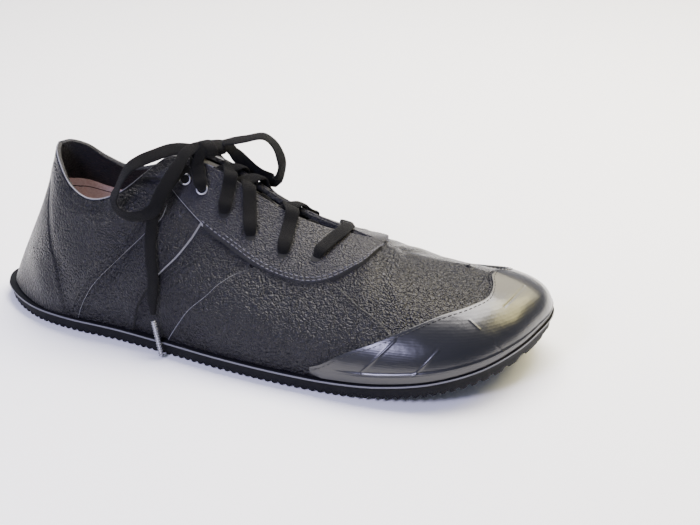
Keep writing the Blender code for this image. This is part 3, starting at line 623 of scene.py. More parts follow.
def make_collar_edge():
    """The cut edge between leather and lining, from one ear round the heel to the other."""
    lifts, proud = np.array(COLLAR_EDGE).T
    rows = len(COLLAR_EDGE)
    shares = np.linspace(THROAT_TIP_SHARE, 0.0, 200)
    runs = [skin_grid(side, order[:, None], np.ones(rows), lifts) for side, order in round_shoe(shares)]
    points = np.vstack(runs)
    count = len(points) // rows
    points[:, 2] += np.tile(proud, count)
    round_heel = np.r_[shares, shares[::-1][1:]][:-1] < PALE_UP_TO
    pale = round_heel[:, None] & (np.arange(rows - 1) < PALE_ROWS)
    made = add_piece("collar_edge", points, grid_faces(count, rows), [CUT_EDGE, FACING],
                     np.where(pale, 0, 1).ravel())
    return normals_out(made)


make_lining()
make_collar_edge()

# The overlays: heel quarter, side bands and front vamp, cut from the same cowhide, skived at their
# hidden edges, glued and stitched over the base. Their cut edges show as thin pale lines.
QUARTER_FRONT = (
    # rib, share
    (0.00, 0.226),
    (0.20, 0.243),
    (0.35, 0.260),
    (0.55, 0.302),
    (0.70, 0.332),
    (0.80, 0.347),
    (1.00, 0.352),
)
QUARTER_TOP = (
    # share, rib
    (0.000, 0.985),
    (0.250, 0.985),
    (0.285, 0.975),
    (0.322, 0.885),
    (0.352, 0.795),
)
BAND_FRONT = (
    # rib, share
    (0.00, 0.322),
    (0.20, 0.334),
    (0.38, 0.360),
    (0.48, 0.380),
    (0.58, 0.393),
    (0.70, 0.404),
    (1.00, 0.410),
)
SIDE_BACK = (
    # rib, share
    (0.00, 0.384),
    (0.13, 0.403),
    (0.24, 0.420),
    (0.33, 0.440),
    (0.43, 0.460),
    (0.52, 0.483),
    (0.58, 0.503),
    (1.00, 0.560),
)
SIDE_FRONT = (
    # rib, share
    (0.00, 0.735),
    (0.31, 0.730),
    (0.40, 0.703),
    (0.46, 0.673),
    (0.55, 0.640),
    (0.66, 0.598),
)
EYESTAY_EDGE = (
    # share, rib
    (0.304, 0.975),
    (0.325, 0.905),
    (0.353, 0.820),
    (0.403, 0.700),
    (0.460, 0.640),
    (0.503, 0.600),
    (0.557, 0.570),
    (0.595, 0.570),
    (0.624, 0.610),
    (0.647, 0.680),
    (0.673, 0.790),
    (0.688, 0.920),
)
QUARTER_LIFT = 0.0016
BAND_LIFT = 0.0010
# How far back the band runs in under the quarter, as a share.
BAND_TUCK = 0.004
BAND_TOP = 0.84
SIDE_LIFT = 0.0008
SIDE_TOP = 0.64
# A rib over the top line, for an edge that is pale nowhere.
NOT_PALE = 2.0
SIDES = ((-1, "outer"), (1, "inner"))

# A panel's width: its even part, where its flat top ends, the share of its lift that the cut edge
# has at its shoulder, and how far out the foot of the edge lies.
EVEN_PART = 0.988
FLAT_TOP = 0.997
SHOULDER_RISE = 0.85
EDGE_SLOPE = 0.0017

# A cut edge that was dyed: dark and dull, so it shows only as a step.
DYED_EDGE = new_material("dyed_leather_edge", "#0c0c0f", 0.8)[0]


def follow(rows):
    """A table's single value as a function of arrays."""
    return lambda at: table(rows, at)[..., 0]


def panel(name, left, right, high, lift, counts, edges, side):
    """A panel on one side of the upper, from the sole's edge to a rib. left and right give a share
    at each rib, edges the ribs from which its left and right cut edges show pale."""
    across, upward = counts
    even = np.linspace(1 - EVEN_PART, EVEN_PART, across)
    part_way = np.r_[0.0, 0.0, 1 - FLAT_TOP, even, FLAT_TOP, 1.0, 1.0][:, None]
    beyond = np.r_[-EDGE_SLOPE, np.zeros(across + 4), EDGE_SLOPE][:, None]
    rise = np.r_[0.0, SHOULDER_RISE, np.ones(across + 2), SHOULDER_RISE, 0.0][:, None]
    rib = np.linspace(0.0, high, upward)
    share = left(rib) + (right(rib) - left(rib)) * part_way + beyond
    finish = np.zeros((len(part_way) - 1, upward - 1), int)
    for row, pale_from in ((0, edges[0]), (-1, edges[1])):
        finish[row] = np.where(rib[:-1] >= pale_from, 1, 2)
    made = add_piece(name, skin_grid(side, share, rib[None, :], lift * rise), grid_faces(*share.shape),
                     [COWHIDE, CUT_EDGE, DYED_EDGE], finish.ravel())
    return turn_out(made)


def make_heel_quarter():
    """Both sides and the back in one sheet, which thins out under the collar's edge."""
    climb = np.linspace(0.0, 0.985, 96)
    heights = np.r_[climb, 0.997, 1.0, 1.0]
    rise_v = np.r_[np.interp(climb, (0.86, 0.985), (1.0, 0.35)), 0.3, 0.2, 0.0]
    spread = np.r_[np.linspace(0.0, EVEN_PART, 130), FLAT_TOP, 1.0, 1.0]
    beyond = np.r_[np.zeros(len(spread) - 1), EDGE_SLOPE]
    rise_u = np.r_[np.ones(len(spread) - 2), SHOULDER_RISE, 0.0]
    points = []
    for side, turn in ((-1, slice(None, None, -1)), (1, slice(1, None))):
        share = spread[turn, None] * follow(QUARTER_FRONT)(heights) + beyond[turn, None]
        rib = heights * follow(QUARTER_TOP)(share)
        rise = np.minimum(rise_u[turn, None], rise_v)
        points.append(skin_grid(side, share, rib, QUARTER_LIFT * rise))
    count = 2 * len(spread) - 1
    cut = np.zeros((count - 1, len(heights) - 1), int)
    cut[[0, -1]] = 1
    made = add_piece("heel_quarter_leather", np.vstack(points), grid_faces(count, len(heights)),
                     [COWHIDE, CUT_EDGE], cut.ravel(), ["heel_quarter"])
    return turn_out(made)


make_heel_quarter()
for side, label in SIDES:
    panel(f"band_{label}", lambda rib: follow(QUARTER_FRONT)(rib) - BAND_TUCK, follow(BAND_FRONT),
          BAND_TOP, BAND_LIFT, (26, 80), (NOT_PALE, 0.36), side)
    panel(f"side_vamp_{label}", follow(SIDE_BACK), follow(SIDE_FRONT),
          SIDE_TOP, SIDE_LIFT, (90, 70), (0.0, NOT_PALE), side)

# The eyestay: a facing of finer, smoother cowhide round the throat, rising into an ear over the
# collar on each side, stitched round its lower edge with a double row.
EYESTAY_LIFT = 0.0016
# How far the facing's foot runs down under its edge, in ribs, and the shares where the edge is pale.
EYESTAY_TUCK = 0.0120
EYESTAY_PALE = (0.345, 0.405)
SMOOTH_HIDE = grained_leather("fine_grain_cowhide", "#0c0b12", "#16151e", 0.35, GRAIN * 1.1, 0.00042)


def make_eyestay():
    """Both sides of the facing. v runs from its stitched edge to the throat, past the tip to the ridge."""
    first, last = EYESTAY_EDGE[0][0], EYESTAY_EDGE[-1][0]
    shares = np.r_[
        first, first, first + 0.0015, np.linspace(first + 0.004, THROAT_TIP_SHARE, 110),
        np.linspace(THROAT_TIP_SHARE, last - 0.002, 14)[1:], last - 0.0005, last, last,
    ]
    rise_u = np.r_[0.0, 0.8, np.ones(len(shares) - 4), 0.8, 0.0]
    v = np.r_[0.0, 0.0, 0.008, np.linspace(0.02, 0.99, 60), 1.0, 1.0]
    under = np.r_[-EYESTAY_TUCK, np.zeros(len(v) - 1)]
    rise_v = np.r_[0.0, SHOULDER_RISE, np.ones(len(v) - 4), 0.8, 0.0]
    past = (shares >= THROAT_TIP_SHARE)[:, None]
    low = follow(EYESTAY_EDGE)(shares)[:, None]
    rib = low + (np.where(past, 1.0, 0.996) - low) * v + under
    rise = np.minimum(rise_u[:, None], np.where(past & (rise_v < 0.81) & (v > 0.5), 1.0, rise_v))
    finish = np.zeros((len(shares) - 1, len(v) - 1), int)
    finish[:, 0] = np.where((shares[:-1] > EYESTAY_PALE[0]) & (shares[:-1] < EYESTAY_PALE[1]), 1, 2)
    points = [skin_grid(side, shares[:, None], rib, EYESTAY_LIFT * rise) for side in (-1, 1)]
    faces = grid_faces(*rib.shape) + grid_faces(*rib.shape, rib.size, flip=True)
    made = add_piece("eyestay_leather", np.vstack(points), faces, [SMOOTH_HIDE, CUT_EDGE, DYED_EDGE],
                     np.tile(finish.ravel(), 2), ["eyestay"])
    return turn_out(made)


make_eyestay()

# The toe cap: moulded natural rubber about 1.6 mm thick, glossy, stitched over the vamp round the
# toe, with a moulded line above the sole, fine ribs and a few thin mould lines.
CAP_EDGE = (
    # share, outer rib, inner rib
    (0.602, 0.04, 0.04),
    (0.627, 0.09, 0.08),
    (0.663, 0.18, 0.16),
    (0.707, 0.26, 0.23),
    (0.743, 0.33, 0.29),
    (0.803, 0.43, 0.38),
    (0.860, 0.48, 0.45),
    (0.905, 0.53, 0.53),
    (0.935, 0.62, 0.63),
    (0.965, 0.73, 0.74),
    (1.000, 0.80, 0.80),
)
CAP_LIFT = 0.0020
# The rib and the height of the moulded line above the sole.
BEAD_RIB = 0.070
BEAD_HEIGHT = 0.0005
MOULD_LINES = (
    # side, height of the line over the rubber, width, start and end as (share, rib)
    (-1, 0.00018, 0.0005, (0.685, 0.064), (0.735, 0.280)),
    (-1, 0.00018, 0.0005, (0.760, 0.064), (0.795, 0.216)),
    (-1, 0.00018, 0.0005, (0.847, 0.376), (0.857, 0.296)),
    (-1, 0.00018, 0.0005, (0.873, 0.160), (0.887, 0.064)),
    (-1, -0.00025, 0.0006, (1.000, 0.512), (0.917, 0.400)),
)


def gloss_rubber():
    """Moulded rubber, polished by the mould: black, with a clear shine that is slightly wavy over
    some 14 mm and broken by fine ribs about 1 mm apart."""
    made, tree, shader = new_material("moulded_glossy_rubber", "#101015", 0.31, Coat_Weight=0.25,
                                      Coat_Roughness=0.14)
    place = add_node(tree, "ShaderNodeTexCoord").outputs["Object"]
    ribs = add_node(tree, "ShaderNodeTexWave",
                    {"bands_direction": "Z", "Scale": 330.0, "Distortion": 1.2, "Detail": 1.0},
                    {"Vector": place})
    waves = add_node(tree, "ShaderNodeTexNoise", {"Scale": 70.0, "Detail": 3.0}, {"Vector": place})
    height = add_node(tree, "ShaderNodeMath", {"operation": "MULTIPLY_ADD", 1: 0.022},
                      {0: ribs.outputs["Fac"], 2: waves.outputs["Fac"]})
    bump = add_node(tree, "ShaderNodeBump", {"Strength": 0.55, "Distance": 0.0010},
                    {"Height": height.outputs[0]})
    tree.links.new(bump.outputs[0], shader.inputs["Normal"])
    return made


CAP_RUBBER = gloss_rubber()
# Rough rolled rubber: dull and darker than the cap, partly the rolled seam's own rubber and partly painted
# shade of the groove along the cap's edge, with a grain made as leather's is, coarser and deeper.
SEAM_RUBBER_AND_SHADE = grained_leather("rough_seam_rubber_painted_shade", "#060609", "#121218", 0.5, GRAIN * 0.8, 0.0008)


def relief(side, share, rib):
    """How far the bead above the sole and the mould's lines stand out of the rubber."""
    tall = BEAD_HEIGHT * np.exp(-(((rib - BEAD_RIB) / 0.009) ** 2)) * np.clip((share - 0.64) / 0.05, 0, 1)
    for line_side, high, width, start, end in MOULD_LINES:
        if line_side != side:
            continue
        run = (np.array(end) - start) * (EDGE_RUN, RIB_RUN)
        across = (share - start[0]) * EDGE_RUN + 0 * rib
        offset = np.stack([across, (rib - start[1]) * RIB_RUN], axis=-1)
        along = np.clip(offset @ run / (run @ run), 0, 1)
        away = np.linalg.norm(offset - along[..., None] * run, axis=-1)
        tall = tall + high * np.exp(-((away / width) ** 2))
    return tall


def make_toe_cap():
    """The cap with the rough rolled band of its seam, which is the last four steps of v, darkened in part as
    painted shade of the seam's groove.
    """
    first = CAP_EDGE[0][0]
    shares = np.linspace(first, 1.0, 380)
    v = np.r_[0.0, np.linspace(0.01, 0.985, 90), 0.997, 1.0, 1.0, 1.0, 1.0]
    rise_v = np.r_[np.ones(92), 0.78, 0.52, 0.48, 0.0]
    beyond = np.r_[np.zeros(len(v) - 3), 0.0040, 0.019, 0.027]
    taper = np.clip((shares - first) / 0.03, 0.15, 1.0)[:, None]
    ragged = 1.0 + 0.25 * np.sin(shares * 410.0) * np.sin(shares * 173.0)
    points = []
    for side, turn in ((-1, slice(None)), (1, slice(-2, None, -1))):
        share = shares[turn, None]
        high = table(CAP_EDGE, share[:, 0])[:, 0 if side < 0 else 1][:, None]
        rib = 0.01 + (high - 0.01) * v + beyond * ragged[turn, None]
        points.append(skin_grid(side, share, rib, CAP_LIFT * rise_v * taper[turn] + relief(side, share, rib)))
    # The seam's band: dark rough rubber, partly painted shade along the cap's edge.
    band = np.arange(len(v) - 1) > len(v) - 5
    made = add_piece("toe_cap_rubber", np.vstack(points), grid_faces(2 * len(shares) - 1, len(v)),
                     [CAP_RUBBER, SEAM_RUBBER_AND_SHADE],
                     np.tile(band.astype(int), 2 * len(shares) - 2), ["toe_cap"])
    return turn_out(made)


make_toe_cap()

# The sole: one thin moulded rubber sole, flexible, glued on, with a lip round its top edge and rows
# of sweeping lugs underneath that show as teeth along the bottom edge.
RIM_HEIGHT = 0.0017
RIM_REACH = 0.0011
SOLE_EDGE_INSET = 0.0006
TOOTH_PITCH = 0.0037
TOOTH_DEPTH = 0.0013
TOOTH_SWEEP = 0.010
SOLE_STEPS = 620
# How much closer the steps lie at heel and toe, where the edge bends most.
END_CROWDING = 0.75
BOTTOM_STRIPS = 14
SOLE_PROFILE = (
    # inset, height, share of the tooth's depth
    (SOLE_EDGE_INSET + 0.0008, 0.0, 1.0),
    (SOLE_EDGE_INSET + 0.0002, 0.0004, 1.0),
    (SOLE_EDGE_INSET, 0.0014, 0.6),
    (SOLE_EDGE_INSET, 0.0030, 0.0),
    (SOLE_EDGE_INSET, SOLE_THICKNESS - RIM_HEIGHT - 0.0003, 0.0),
    (SOLE_EDGE_INSET - 0.0004, SOLE_THICKNESS - RIM_HEIGHT, 0.0),
    (-RIM_REACH + 0.0003, SOLE_THICKNESS - RIM_HEIGHT + 0.0003, 0.0),
    (-RIM_REACH, SOLE_THICKNESS - 0.0010, 0.0),
    (-RIM_REACH + 0.0002, SOLE_THICKNESS - 0.0003, 0.0),
    (-RIM_REACH + 0.0008, SOLE_THICKNESS, 0.0),
    (0.0060, SOLE_THICKNESS - 0.0001, 0.0),
)
# The row of faces, counted from the bottom one, that is pale: a painted highlight along the lip's rounded
# edge, and its worn pale edge.
PALE_RIM_ROW = 7


def sole_rubber():
    """Moulded carbon-black rubber: matt, with a faint dusty bloom in patches of about 6 mm."""
    made, tree, shader = new_material("moulded_sole_rubber", "#0a0a0d", 0.72, Specular_IOR_Level=0.18)
    place = add_node(tree, "ShaderNodeTexCoord").outputs["Object"]
    dust = add_node(tree, "ShaderNodeTexNoise", {"Scale": 160.0, "Detail": 5.0}, {"Vector": place})
    tone = add_node(tree, "ShaderNodeMixRGB", {"Color1": linear("#050507"), "Color2": linear("#101014")},
                    {"Fac": dust.outputs["Fac"]})
    tree.links.new(tone.outputs[0], shader.inputs["Base Color"])
    bump = add_node(tree, "ShaderNodeBump", {"Strength": 0.4, "Distance": 0.0003},
                    {"Height": dust.outputs["Fac"]})
    tree.links.new(bump.outputs[0], shader.inputs["Normal"])
    return made


SOLE_RUBBER = sole_rubber()
# The lip's narrow top face: pale grey and a little smoother, partly a painted highlight along its rounded
# edge and partly scuffed wear.
RIM_HIGHLIGHT_AND_WEAR = new_material("rim_rubber_highlight_and_wear", "#5e5e63", 0.55)[0]


def tooth(x, y):
    """How far the tread is cut up from the floor: grooves that sweep back from the middle."""
    phase = (x + TOOTH_SWEEP * np.abs(y / BALL_WIDTH - 0.05)) / TOOTH_PITCH
    wave = 0.5 - 0.5 * np.cos(2 * math.pi * phase)
    return TOOTH_DEPTH * np.clip((wave - 0.42) / 0.25, 0.0, 1.0)


def ring_faces(rings, size, closed=False):
    """Quads between rings of points that each close on themselves, and from last to first if closed."""
    k, i = np.meshgrid(np.arange(rings if closed else rings - 1), np.arange(size), indexing="ij")
    j, after = (i + 1) % size, (k + 1) % rings
    quads = np.stack([k * size + i, k * size + j, after * size + j, after * size + i], axis=-1)
    return quads.reshape(-1, 4).tolist()


def make_sole():
    """The side's profile run round the edge, closed underneath by strips from side to side."""
    even = np.linspace(0.0, 1.0, SOLE_STEPS)
    shares = even - END_CROWDING * np.sin(2 * np.pi * even) / (2 * np.pi)
    points = []
    for inset, height, cut in SOLE_PROFILE:
        for side, order in ((-1, shares), (1, shares[::-1][1:-1])):
            base, _ = edge_at(side, order, inset)
            z = height + spring(base[:, 0]) + cut * tooth(base[:, 0], base[:, 1])
            points.append(np.c_[base, z])
    ring = 2 * SOLE_STEPS - 2
    faces = ring_faces(len(SOLE_PROFILE), ring)
    outer, inner = [edge_at(side, shares, SOLE_PROFILE[0][0])[0] for side in (-1, 1)]
    t = np.linspace(0.0, 1.0, BOTTOM_STRIPS)[None, :, None]
    bottom = (outer[:, None, :] * (1 - t) + inner[:, None, :] * t).reshape(-1, 2)
    z = spring(bottom[:, 0]) + tooth(bottom[:, 0], bottom[:, 1])
    faces += grid_faces(SOLE_STEPS, BOTTOM_STRIPS, ring * len(SOLE_PROFILE))
    finish = np.zeros(len(faces), int)
    # The pale row on the lip: painted highlight along its edge, and wear.
    finish[PALE_RIM_ROW * ring : (PALE_RIM_ROW + 1) * ring] = 1
    made = add_piece("rubber_sole", np.vstack([*points, np.c_[bottom, z]]) - ORIGIN, faces,
                     [SOLE_RUBBER, RIM_HIGHLIGHT_AND_WEAR], finish, ["outsole"])
    normals_out(made, shortest=1e-7)
    made.data.set_sharp_from_angle(angle=math.radians(50))
    return made


make_sole()

# The insole: a footbed faced with the same undyed pigskin, loose on the sole. The part's own solid
# shows here, in that leather.
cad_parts["insole"].data.materials.clear()
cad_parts["insole"].data.materials.append(LINING_TAN)

# The tongue: a single sheet of leather about 1.6 mm thick, left raw at its edge. It lies under the
# throat and is stitched to the vamp at the throat's tip.
TONGUE_HIDE = grained_leather("tongue_leather", "#3a3935", "#4b4943", 0.55, GRAIN * 1.2, 0.0002)
TONGUE_SHARES = (0.372, 0.640)
TONGUE_RIBS = (0.72, 0.99)
TONGUE_DROP = 0.0005
TONGUE_THICKNESS = 0.0016


def make_tongue():
    """Both sides hang under the throat's edges, and a few steps bridge the gap between them."""
    shares = np.linspace(*TONGUE_SHARES, 80)
    ribs = np.linspace(*TONGUE_RIBS, 12)
    size = (len(shares), len(ribs), 3)
    under = -WALL - TONGUE_DROP
    outer, inner = [skin_grid(side, shares[:, None], ribs, under).reshape(size) for side in (-1, 1)]
    t = np.linspace(0, 1, 8)[1:-1, None]
    middle = outer[:, -1:] * (1 - t) + inner[:, -1:] * t
    points = np.concatenate([outer, middle, inner[:, ::-1]], axis=1)
    made = add_piece("tongue_leather", points.reshape(-1, 3), grid_faces(*points.shape[:2]), [TONGUE_HIDE],
                     replaces=["tongue"])
    turn_out(made)
    solid = made.modifiers.new("thickness", "SOLIDIFY")
    solid.thickness = TONGUE_THICKNESS
    solid.offset = -1.0
    return made


make_tongue()

# The holes and eyelets: four punched holes on each side, and two holes above them with pressed
# nickel-plated brass eyelets, rolled at the rim.
HOLES = (
    # name, share, rib, meets
    ("front", 0.593, 0.730, 0.618),
    ("second", 0.540, 0.710, 0.530),
    ("third", 0.483, 0.735, 0.457),
    ("fourth", 0.433, 0.785, 0.425),
    ("fifth", 0.393, 0.860, 0.379),
)
METAL_HOLES = (("fifth", 0.393, 0.860), ("top", 0.370, 0.880))
# Nickel plate over pressed brass: a bright cool metal with a soft, slightly blurred reflection.
NICKEL = new_material("nickel_plated_brass", "#a2a2a8", 0.28, Metallic=1.0)[0]
# Painted shade inside a punched hole: a near-black disc with no shine, standing in for the shadow in the
# hole.
HOLE_PAINTED_SHADE = new_material("painted_shade_of_a_hole", "#060607", 0.9)[0]
# The middle of the rolled rim, how far the roll reaches across and up from it, and a punched hole.
EYELET_RADIUS = 0.0025
ROLL_ACROSS = 0.00042
ROLL_HIGH = 0.00050
HOLE_RADIUS = 0.0024


def circle(count):
    """Angles of so many points round a circle."""
    return np.linspace(0, 2 * math.pi, count, endpoint=False)


def disc_frame(side, share, rib, lift):
    """The centre of a round thing on the leather, its axis and the two directions across it."""
    centre = skin(side, share, rib, lift)[0]
    return centre, *across_axis(upper_normal(side, share, rib)[0])


def across_axis(axis):
    """An axis with two directions square to it."""
    first = np.cross(axis, (1.0, 0.0, 0.0))
    first /= np.linalg.norm(first)
    return axis, first, np.cross(axis, first)


def lathe(place, profile, segments):
    """Points and faces of a turned shape about a disc's axis. The profile is closed."""
    centre, axis, first, second = place
    points = []
    for angle in circle(segments):
        out = first * math.cos(angle) + second * math.sin(angle)
        points += [centre + out * radius + axis * height for radius, height in profile]
    return points, ring_faces(segments, len(profile), closed=True)


def make_eyelets():
    """The rolled rims of the metal eyelets."""
    rolled = circle(14)
    flange = [(EYELET_RADIUS + ROLL_ACROSS * math.cos(a), 0.0001 + ROLL_HIGH * math.sin(a)) for a in rolled]
    for name, share, rib in METAL_HOLES:
        for side, label in SIDES:
            points, faces = lathe(disc_frame(side, share, rib, EYESTAY_LIFT + 0.0003), flange, 36)
            made = add_piece(f"metal_eyelet_{name}_{label}", points, faces, [NICKEL],
                             replaces=[f"eyelet_{name}_{label}"])
            normals_out(made)


def make_painted_hole_shades():
    """A disc of painted shade for every hole, punched or with an eyelet."""
    points, faces = [], []
    places = [(share, rib) for _, share, rib, _ in HOLES] + [METAL_HOLES[1][1:]]
    ring = circle(20)
    for side in (-1, 1):
        for share, rib in places:
            centre, _, first, second = disc_frame(side, share, rib, EYESTAY_LIFT + 0.00012)
            faces.append(tuple(range(len(points), len(points) + len(ring))))
            points += [centre + HOLE_RADIUS * (first * math.cos(a) + second * math.sin(a)) for a in ring]
    return turn_out(add_piece("punched_hole_painted_shades", points, faces, [HOLE_PAINTED_SHADE]))


make_eyelets()
make_painted_hole_shades()

# The lace: one flat, loosely woven black cotton lace about 7 mm wide, run straight across the
# front holes, then crossed up to the fifth pair and tied in a bow. Its ends have crimped tips.
LACE_WIDTH = 0.0066
LACE_THICKNESS = 0.0013
LACE_STEP = 0.0012
# The lace's cross section as shares of its width and thickness: flat, with rounded sides.
CROSS = [(0.5 * math.copysign(abs(math.cos(a)) ** 0.55, math.cos(a)), 0.5 * math.sin(a)) for a in circle(16)]
STRAND_STOPS = (
    # share of the way to the throat, height over the facing, share of the lace's width
    (0.0, -0.0008, 0.55),
    (0.05, 0.0008, 0.80),
    (0.16, 0.0020, 0.95),
    (0.45, 0.0016, 1.0),
    (0.75, 0.0015, 1.0),
)
# How far the upper strand of a crossing lies over the lower one, how much higher the fifth crossing
# lies, and how much lower the inner half of the front bar starts.
UPPER_STRAND = 0.0013
FIFTH_LIFT = 0.0006
BAR_DROP = -0.0008
# The front bar keeps this much of each strand, at every fourth place, so it runs straight across.
BAR_PER_CENT = 65
BAR_EVERY = 4


def woven_cotton():
    """Flat woven cotton tape: fine crossing threads, dull, with a soft fuzz at grazing angles."""
    made, tree, shader = new_material("woven_cotton_tape", "#050506", 0.85, Specular_IOR_Level=0.15,
                                      Sheen_Weight=0.02)
    path = add_node(tree, "ShaderNodeUVMap", {"uv_map": "along"}).outputs["UV"]
    warp, weft = [
        add_node(tree, "ShaderNodeTexWave", {"bands_direction": way, "Scale": 3.2, "Distortion": 0.6},
                 {"Vector": path})
        for way in "XY"
    ]
    weave = add_node(tree, "ShaderNodeMath", {"operation": "MULTIPLY"},
                     {0: warp.outputs["Fac"], 1: weft.outputs["Fac"]})
    bump = add_node(tree, "ShaderNodeBump", {"Strength": 0.7, "Distance": 0.0003},
                    {"Height": weave.outputs[0]})
    tree.links.new(bump.outputs[0], shader.inputs["Normal"])
    tone = add_node(tree, "ShaderNodeMixRGB", {"Color1": linear("#020203"), "Color2": linear("#0d0d10")},
                    {"Fac": weave.outputs[0]})
    tree.links.new(tone.outputs[0], shader.inputs["Base Color"])
    return made


COTTON = woven_cotton()


def smooth_line(points, spacing, extra=None):
    """Points at even steps along a smooth curve through the given ones, with values carried along."""
    points = np.asarray(points, float)
    arc = distances(points)
    at = np.linspace(0.0, arc[-1], max(int(arc[-1] / spacing), 4) + 1)
    line = hermite(arc, points, at)
    return line if extra is None else (line, hermite(arc, np.asarray(extra, float), at))


def tape(points, flats, widths, thickness=LACE_THICKNESS):
    """Points, faces and path coordinates of a flat tape. flats are directions out of its flat side."""
    points = np.asarray(points, float)
    tangent = np.gradient(points, axis=0)
    tangent /= np.linalg.norm(tangent, axis=1)[:, None]
    flats = np.asarray(flats, float) - (np.asarray(flats) * tangent).sum(1)[:, None] * tangent
    flats /= np.linalg.norm(flats, axis=1)[:, None]
    across = np.cross(tangent, flats)
    rings, path = [], []
    for k, along in enumerate(distances(points)):
        for a, b in CROSS:
            rings.append(points[k] + across[k] * a * widths[k] + flats[k] * b * thickness)
            path.append((a * LACE_WIDTH * 1000, along * 1000))
    faces = ring_faces(len(points), len(CROSS))
    faces.append(list(range(len(CROSS)))[::-1])
    faces.append(list(range(len(rings) - len(CROSS), len(rings))))
    return rings, faces, path


def lace_piece(name, runs, replaces=()):
    """One object from one or more runs of tape."""
    points, faces, path = [], [], []
    for run in runs:
        ring_points, ring_quads, along = tape(*run)
        faces += [[i + len(points) for i in face] for face in ring_quads]
        points += ring_points
        path += along
    made = add_piece(name, points, faces, [COTTON], replaces=replaces, merge=0)
    layer = made.data.uv_layers.new(name="along")
    index = np.empty(len(made.data.loops), np.int32)
    made.data.loops.foreach_get("vertex_index", index)
    layer.data.foreach_set("uv", np.asarray(path, np.float32)[index].ravel())
    return normals_out(made)


def strand(side, share, rib, meets, over, lift):
    """From a hole over the facing to the throat's edge, then down under the other facing, in rows of
    a point, a flat side's direction and a width."""
    rows = []
    for t, rise, wide in STRAND_STOPS:
        at, height = share + (meets - share) * t, rib + (0.985 - rib) * t
        point = skin(side, at, height, EYESTAY_LIFT + rise + lift)[0]
        rows.append((*point, *upper_normal(side, at, height)[0], wide * LACE_WIDTH))
    edge = skin(side, meets, 0.992, EYESTAY_LIFT + 0.0014 + over + min(lift, 0.0))[0]
    far = skin(-side, meets - 0.018, 0.996, -0.0012 + over * 0.5)[0]
    middle = (edge + far) / 2 + np.array([0.0, 0.0, 0.0006])
    under = skin(-side, meets - 0.030, 0.94, -0.0040)[0]
    near_flat, far_flat = upper_normal(side, meets, 0.97)[0], upper_normal(-side, meets, 0.97)[0]
    rows += [
        (*edge, *near_flat, LACE_WIDTH),
        (*middle, *(near_flat + far_flat), LACE_WIDTH * 0.95),
        (*far, *far_flat, LACE_WIDTH * 0.9),
        (*under, *far_flat, LACE_WIDTH * 0.8),
    ]
    return even_rows(np.array(rows))


def even_rows(rows):
    """The same strand with its rows at even steps."""
    return np.hstack(smooth_line(rows[:, :3], LACE_STEP, rows[:, 3:]))


def as_run(rows):
    """A strand's rows as points, flat sides and widths."""
    return rows[:, :3], rows[:, 3:6], rows[:, 6]


def make_crossings():
    """The front bar is one run straight across, and the others a strand from each side."""
    for k, (name, share, rib, meets) in enumerate(HOLES):
        if name == "front":
            halves = [strand(side, share, rib, meets, 0.0, lift) for side, lift in ((-1, 0.0), (1, BAR_DROP))]
            outer, inner = [half[: len(half) * BAR_PER_CENT // 100] for half in halves]
            strands = [even_rows(np.vstack([outer, inner[::-1]])[::BAR_EVERY])]
        else:
            lift = FIFTH_LIFT if name == "fifth" else 0.0
            upper_side = -1 if k % 2 else 1
            strands = [
                strand(side, share, rib, meets, UPPER_STRAND if side == upper_side else 0.0, lift)
                for side in (-1, 1)
            ]
        lace_piece(f"crossing_{name}", [as_run(rows) for rows in strands], [f"lace_{name}"])


def make_run_under():
    """The lace between its crossings, seen in the gap of the throat: a twisted run along the gap."""
    shares = np.linspace(0.400, 0.625, 60)
    line = (skin(-1, shares, 0.985, -0.0022) + skin(1, shares, 0.985, -0.0022)) / 2
    step = np.arange(len(shares))
    line[:, 1] += 0.0010 * np.sin(step * 0.62)
    turn = 0.9 * np.sin(step * 0.55)
    flats = np.c_[0.0 * turn, np.sin(turn), np.cos(turn)]
    widths = np.full(len(shares), LACE_WIDTH * 0.62)
    return lace_piece("run_under_throat", [(line, flats, widths)])


make_crossings()
make_run_under()

# The bow: the knot sits over the throat's top, with a loop to each side and two loose ends that
# lie against the shoe. Points are the part's own route, as shares of its length, width and height.
KNOT_LINE = (
    (0.3980, -0.042, 1.123),
    (0.4090, -0.008, 1.126),
    (0.4200, 0.026, 1.126),
)
LOOP_OUTER = (
    # along, side, height
    (0.3955, -0.050, 1.123),
    (0.3820, -0.078, 1.128),
    (0.3580, -0.116, 1.124),
    (0.3390, -0.160, 1.104),
    (0.3180, -0.198, 1.075),
    (0.3040, -0.226, 1.045),
    (0.2920, -0.245, 0.980),
    (0.2820, -0.252, 0.903),
    (0.2740, -0.254, 0.837),
    (0.2800, -0.262, 0.792),
    (0.2960, -0.268, 0.764),
    (0.3230, -0.268, 0.769),
    (0.3390, -0.264, 0.786),
    (0.3510, -0.256, 0.822),
    (0.3590, -0.240, 0.890),
    (0.3690, -0.205, 0.970),
    (0.3790, -0.155, 1.050),
    (0.3850, -0.108, 1.108),
)
LOOP_INNER = (
    # along, side, height
    (0.4290, 0.040, 1.130),
    (0.4420, 0.050, 1.140),
    (0.4650, 0.066, 1.157),
    (0.4990, 0.094, 1.172),
    (0.5110, 0.113, 1.125),
    (0.5180, 0.132, 1.052),
    (0.5210, 0.137, 1.001),
    (0.5170, 0.144, 0.935),
    (0.5080, 0.146, 0.880),
    (0.4860, 0.133, 0.905),
    (0.4590, 0.108, 0.980),
    (0.4350, 0.072, 1.085),
)
LOOP_JOINTS = (
    # the way each loop's second end goes on into the knot
    ((0.4400, 0.080, 1.066), (0.4340, 0.069, 1.091), (0.4250, 0.040, 1.116), (0.4130, 0.004, 1.124)),
    ((0.3810, -0.140, 1.068), (0.3850, -0.108, 1.108), (0.3930, -0.068, 1.128), (0.4060, -0.024, 1.128)),
)
